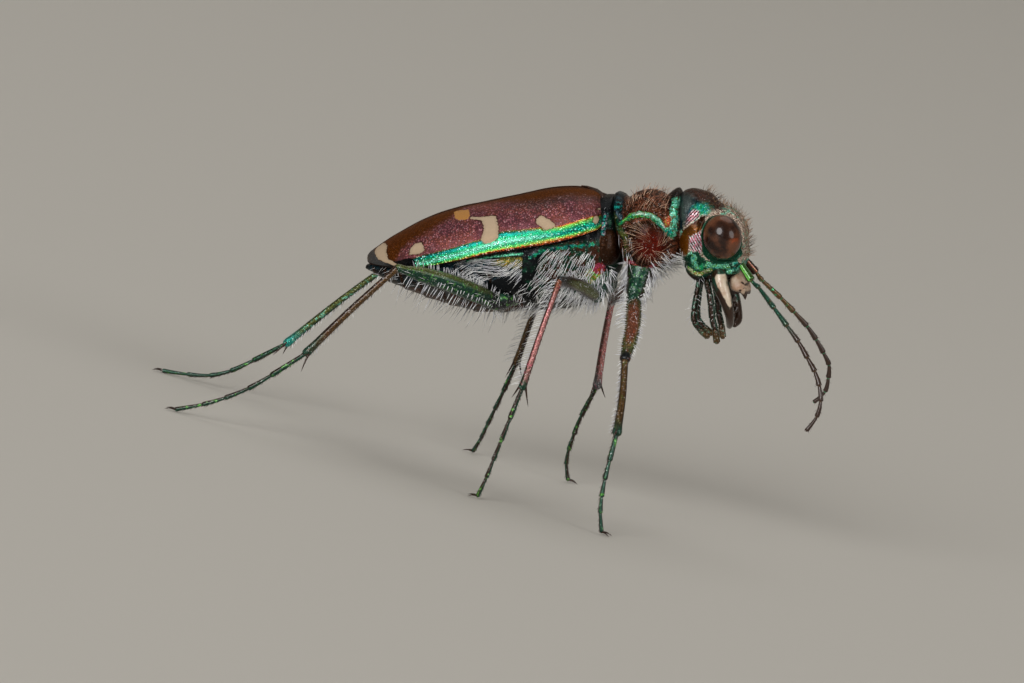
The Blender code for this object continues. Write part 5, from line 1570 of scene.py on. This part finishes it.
class BEETLE_OT_head(bpy.types.Operator):
    """Shape the head and its eyes"""

    bl_idname = "beetle.head"
    bl_label = "Head"

    def execute(self, context):
        tones = context.scene.beetle_colours
        skin = SKINS["head"] = head_skin()
        blue = mottled(tones.teal, tones.jade, 0.08, 0.55)
        high = striped(tones.umber, mottled(tones.rose, tones.lilac, 0.12, 0.40), "striae")
        low = striped(mottled(tones.umber, tones.magenta, 0.15, 0.6), mottled(tones.lilac, (1.0, 0.95, 1.0), 0.12, 0.4), "striae")
        # The face's ground: frons colour with jade patches as painted mint glints, and copper patches
        finish = plate_finish("head_finish", mottled(mottled(tones.frons, tones.jade, 0.30, 0.2), tones.copper, 0.07, 0.2), (
            ("crown", mottled(tones.steel, tones.deep_blue, 0.5), 0.10, 0.2, 0.75),
            ("crown_brown", mottled(tones.umber, tones.russet, 0.10, 0.6), 0.12, 0.2, 0.3),
            ("teal", mottled(tones.teal, tones.emerald, 0.10), 0.12, 0.2, 0.3),
            ("temple", shifting(2, -0.4, 0.4, tones.amber, tones.umber), 0.02, 0.03, 0.8),
            ("stripe_high", high, 0.06, 0.10, 0.5),
            ("stripe_low", low, 0.04, 0.10, 0.5),
            ("cheek", mottled(tones.pine, tones.emerald, 0.35, 0.08), 0.04, 0.10, 0.5),
            ("cheek_bright", mottled(blue, mottled(tones.leaf, tones.jade, 0.06, 0.65), 0.14, 0.5), 0.03, 0.22, 0.0),
            ("socket", mottled(tones.night, tones.pine, 0.1), 0.05, 0.10, 0.6),
            ("clypeus", mottled(tones.pine, blue, 0.15, 0.6), 0.05, 0.2, 0.1),
            ("eye_ring", tones.pine, 0.02, 0.03, 0.8),
            ("jaw_edge", mottled(mottled(tones.leaf, tones.gold, 0.10), (0.86, 0.95, 0.60), 0.07, 0.5), 0.03, 0.10, 0.1),
            ("under", mottled(tones.night, tones.umber, 0.2), 0.04, 0.05, 0.3),
        ), granule=0.05, relief=0.018, painted_sparkle=0.8)
        piece("head_shell", [skin], finish, ["head"])
        eyes = eye_finish(tones)
        for name, side in SIDES.items():
            piece("eye_lens_" + name, [eye_skin(side)], eyes, ["eye_" + name])
        return {"FINISHED"}


class BEETLE_OT_mouthparts(bpy.types.Operator):
    """Shape the lip, the jaws and the palps"""

    bl_idname = "beetle.mouthparts"
    bl_label = "Mouthparts"

    def execute(self, context):
        tones = context.scene.beetle_colours
        jaw, lip = jaw_finish(tones), labrum_finish(tones)
        palps = limb_finish("palp_finish", tones.pine, tones.umber, tones.jade, 0.6, end=tones.bronze, glints=0.2)
        piece("lip", labrum_skins(), lip, ["labrum"])
        for name, side in SIDES.items():
            piece("jaw_" + name, mandible_skins(side), jaw, ["mandible_" + name])
            outer = palp_skin(MAXILLARY_PALP, side, (0.11, 0.12, 0.125, 0.12, 0.125))
            inner = SKINS["labial", side] = palp_skin(LABIAL_PALP, side, (0.10, 0.11, 0.115, 0.11, 0.125))
            piece("maxillary_feeler_" + name, [outer], palps, ["maxillary_palp_" + name])
            piece("labial_feeler_" + name, [inner], palps, ["labial_palp_" + name])
        return {"FINISHED"}


class BEETLE_OT_antennae(bpy.types.Operator):
    """Shape the two antennae, segment by segment"""

    bl_idname = "beetle.antennae"
    bl_label = "Antennae"

    def execute(self, context):
        tones = context.scene.beetle_colours
        near = feeler_finish("right_feeler_finish", tones.leaf, tones.pine, tones.bronze, tones.umber)
        far = feeler_finish("left_feeler_finish", tones.copper, tones.bronze, tones.emerald, tones.umber)
        for name, side in SIDES.items():
            skin = SKINS["antenna", side] = antenna_skin(side)
            piece("feeler_" + name, [skin], near if side == RIGHT else far, ["antenna_" + name])
        return {"FINISHED"}


class BEETLE_OT_legs(bpy.types.Operator):
    """Shape the six legs with their spurs and claws"""

    bl_idname = "beetle.legs"
    bl_label = "Legs"

    def execute(self, context):
        tones = context.scene.beetle_colours
        looks = {
            "hip": ("pine", "pine", "olive", 0.4, None, None),
            "front_hip": ("pine", "umber", "leaf", 0.5, None, None),
            "hind_hip": ("night", "pine", "leaf", 0.4, None, None),
            "front_right_thigh": ("copper", "olive", "ember", 0.6, "pine", "night"),
            "front_left_thigh": ("russet", "umber", "mauve", 0.5, None, None),
            "middle_thigh": ("olive", "umber", "bronze", 0.5, None, "night"),
            "hind_thigh": ("pine", "olive", "leaf", 0.6, "night", None),
            "front_right_shin": ("bronze", "umber", "olive", 0.5, None, "pine"),
            "front_left_shin": ("russet", "mauve", "magenta", 0.6, None, "slate"),
            "middle_right_shin": ("russet", "mauve", "magenta", 0.65, "copper", "pine"),
            "middle_left_shin": ("bronze", "umber", "olive", 0.5, None, None),
            "hind_right_shin": ("bronze", "umber", "brown", 0.4, None, "pine"),
            "hind_left_shin": ("olive", "pine", "jade", 0.65, None, "teal"),
            "foot": ("pine", "umber", "leaf", 0.6, None, None),
        }
        extras = {
            "front_hip": {"glints": 0.3}, "front_right_thigh": {"glints": 0.35}, "middle_right_shin": {"twist": 0.09},
            "hind_thigh": {"turns": 1, "patch": 0.1, "glints": 0.5},
        }
        finishes = {}
        for key, (core, edge, glint, shine, *ends) in looks.items():
            extra = {"patch": 0.5 * key.endswith("thigh"), "spur": tones.horn, **extras.get(key, {})}
            core, edge, glint, start, end = (t and getattr(tones, t) for t in (core, edge, glint, *ends))
            finishes[key] = limb_finish(key + "_finish", core, edge, glint, shine, start, end, **extra)
        for pair, side in LEGS:
            name = pair + "_" + SIDE_NAMES[side]
            hips, femur = hip_skins(pair, side), femur_skin(pair, side)
            shins, feet = shin_skins(pair, side), foot_skins(pair, side)
            SKINS["hip", pair, side], SKINS["femur", pair, side] = hips[0], femur
            SKINS["shin", pair, side], SKINS["foot", pair, side] = shins[0], feet[0]
            piece(name + "_hip", hips, finishes.get(pair + "_hip") or finishes["hip"], [name + "_coxa"])
            thigh = finishes.get(name + "_thigh") or finishes[pair + "_thigh"]
            piece(name + "_thigh", [femur], thigh, [name + "_femur"])
            piece(name + "_shin", shins, finishes[name + "_shin"], [name + "_tibia"])
            piece(name + "_foot", feet, finishes["foot"], [name + "_tarsus"])
        return {"FINISHED"}


class BEETLE_OT_bristles(bpy.types.Operator):
    """Plant the bristles on the plates and limbs. The other pieces come first"""

    bl_idname = "beetle.bristles"
    bl_label = "Bristles"

    def execute(self, context):
        if "head" not in SKINS or ("foot", "hind", LEFT) not in SKINS:
            raise RuntimeError("shape the body and the legs before their bristles")
        tones = context.scene.beetle_colours
        finishes = {
            "white": bristle_finish("white_bristle_finish", tones.white_hair, tones.grey_hair),
            "rosy": bristle_finish("rosy_bristle_finish", tones.rosy_hair, tones.copper),
            "brown": bristle_finish("brown_bristle_finish", tones.brown_hair, tones.umber),
        }
        white, dark = finishes["white"], bristle_finish("spine_finish", tones.horn, tones.umber, 0.3)
        for seed, (name, (kind, plans)) in enumerate(body_bristles().items()):
            bristles(name, plans, finishes[kind], "ivory" if kind == "white" else "horn", 100 + seed)
        for seed, (pair, side) in enumerate(LEGS):
            name = pair + "_" + SIDE_NAMES[side]
            white_plans, dark_plans = leg_bristles(pair, side)
            bristles(name + "_hairs", white_plans, white, "ivory", 300 + seed)
            bristles(name + "_spines", dark_plans, dark, "horn", 400 + seed)
        for seed, (name, side) in enumerate(SIDES.items()):
            palp, feeler = SKINS["labial", side], SKINS["antenna", side]
            bristles("palp_hairs_" + name, [
                dict(skin=palp, count=18, where=limb_mask(palp, (0.1, 0.75), 0.0, 2.4), length=(0.18, 0.32),
                 stand=0.6, lie=(1.0, 0, -0.6), curl=0.2, thick=0.010),
            ], white, "ivory", 500 + seed)
            bristles("feeler_hairs_" + name, [
                dict(skin=feeler, count=160, where=np.ones(feeler.points.shape[:2]), length=(0.05, 0.10),
                 stand=0.5, lie=(0.6, 0, -1), thick=0.007),
            ], dark, "horn", 600 + seed)
        return {"FINISHED"}


class BEETLE_OT_stage(bpy.types.Operator):
    """Lay the pale floor with its backdrop, and set the soft lights and the camera"""

    bl_idname = "beetle.stage"
    bl_label = "Stage"

    def execute(self, context):
        settings = context.scene.beetle_stage
        lay_floor(tuple(settings.floor))
        light("key_light", (-0.33, -0.95, 0.46), 0.62, settings.key_power)
        light("side_light", (0.93, -0.51, 0.55), 0.62, settings.side_power)
        light("top_light", (0.0, 0.60, 1.40), 1.30, settings.top_power)
        world = bpy.data.worlds.new("studio")
        context.scene.world = world
        world.use_nodes = True
        world.node_tree.nodes["Background"].inputs["Color"].default_value = (1.0, 0.96, 0.90, 1)
        world.node_tree.nodes["Background"].inputs["Strength"].default_value = 0.14
        context.scene.view_settings.view_transform = "Standard"
        set_camera()
        return {"FINISHED"}


def lay_floor(colour):
    deselect()
    bpy.ops.mesh.primitive_plane_add(size=3.0, location=(0, -0.4, 0))
    floor = bpy.context.object
    floor.name = floor.data.name = "floor"
    bpy.ops.object.mode_set(mode="EDIT")
    bpy.ops.mesh.select_mode(type="EDGE")
    bpy.ops.mesh.select_all(action="DESELECT")
    bpy.ops.object.mode_set(mode="OBJECT")
    for edge in floor.data.edges:
        edge.select = all(floor.data.vertices[v].co.y > 1.4 for v in edge.vertices)
    bpy.ops.object.mode_set(mode="EDIT")
    bpy.ops.mesh.extrude_region_move(TRANSFORM_OT_translate={"value": (0, 0.25, 1.6)})
    bpy.ops.object.mode_set(mode="OBJECT")
    for edge in floor.data.edges:
        edge.select = all(1.4 < floor.data.vertices[v].co.y < 1.6 and floor.data.vertices[v].co.z < 0.1 for v in edge.vertices)
    bpy.ops.object.mode_set(mode="EDIT")
    bpy.ops.mesh.bevel(offset=0.7, segments=32, affect="EDGES")
    bpy.ops.object.mode_set(mode="OBJECT")
    floor.data.transform(Matrix.Translation(floor.location))
    floor.location = (0, 0, 0)
    floor.data.shade_smooth()
    look = Finish("floor_finish", 0.75)
    look.set("Base Color", look.mix(look.noise(0.004, 2.0), colour, tuple(c * 0.97 for c in colour)))
    floor.data.materials.append(look.material)


def light(name, place, size, power):
    lamp = bpy.data.lights.new(name, "AREA")
    lamp.shape, lamp.size, lamp.energy = "DISK", size, power
    item = bpy.data.objects.new(name, lamp)
    item.location = place
    item.rotation_euler = (Vector((0.0, 0.0, 0.006)) - Vector(place)).to_track_quat("-Z", "Y").to_euler()
    bpy.context.scene.collection.objects.link(item)


def set_camera():
    """The photograph's view: level side on, a little from the front and above, rolled with the floor."""
    turn, rise, roll = math.radians(6.0), math.radians(7.0), math.radians(15.166139)
    back = Vector((math.sin(turn) * math.cos(rise), -math.cos(turn) * math.cos(rise), math.sin(rise)))
    across = Vector((math.cos(turn), math.sin(turn), 0))
    over = back.cross(across)
    right = across * math.cos(roll) + over * math.sin(roll)
    up = over * math.cos(roll) - across * math.sin(roll)
    camera = bpy.data.objects.new("camera", bpy.data.cameras.new("camera"))
    camera.matrix_world = Matrix.Translation((0.0265264, -0.2467472, 0.0353336)) @ Matrix((right, up, back)).transposed().to_4x4()
    camera.data.sensor_width = 36.0
    camera.data.lens = 254.88
    camera.data.clip_start, camera.data.clip_end = 0.005, 20.0
    bpy.context.scene.collection.objects.link(camera)
    bpy.context.scene.camera = camera


OPERATORS = (
    BEETLE_OT_wing_cases, BEETLE_OT_thorax, BEETLE_OT_abdomen, BEETLE_OT_head, BEETLE_OT_mouthparts,
    BEETLE_OT_antennae, BEETLE_OT_legs, BEETLE_OT_bristles, BEETLE_OT_stage,
)


class BEETLE_PT_pieces(bpy.types.Panel):
    """The beetle's sizes and colours, and the operators that make its pieces"""

    bl_label = "Tiger Beetle"
    bl_space_type = "VIEW_3D"
    bl_region_type = "UI"
    bl_category = "Beetle"

    def draw(self, context):
        for title, group in (("Sizes", "beetle_sizes"), ("Colours", "beetle_colours"), ("Stage", "beetle_stage")):
            box = self.layout.box()
            box.label(text=title)
            settings = getattr(context.scene, group)
            for name in type(settings).__annotations__:
                box.prop(settings, name)
        for operator in OPERATORS:
            self.layout.operator(operator.bl_idname)


CLASSES = (BeetleColours, BeetleSizes, StageSettings, *OPERATORS, BEETLE_PT_pieces)


def register():
    for cls in CLASSES:
        bpy.utils.register_class(cls)
    bpy.types.Scene.beetle_colours = bpy.props.PointerProperty(type=BeetleColours)
    bpy.types.Scene.beetle_sizes = bpy.props.PointerProperty(type=BeetleSizes)
    bpy.types.Scene.beetle_stage = bpy.props.PointerProperty(type=StageSettings)


def unregister():
    for group in ("beetle_colours", "beetle_sizes", "beetle_stage"):
        delattr(bpy.types.Scene, group)
    for cls in reversed(CLASSES):
        bpy.utils.unregister_class(cls)


def main():
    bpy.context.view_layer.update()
    register()
    for operator in OPERATORS:
        group, name = operator.bl_idname.split(".")
        getattr(getattr(bpy.ops, group), name)()


if __name__ == "__main__":
    main()
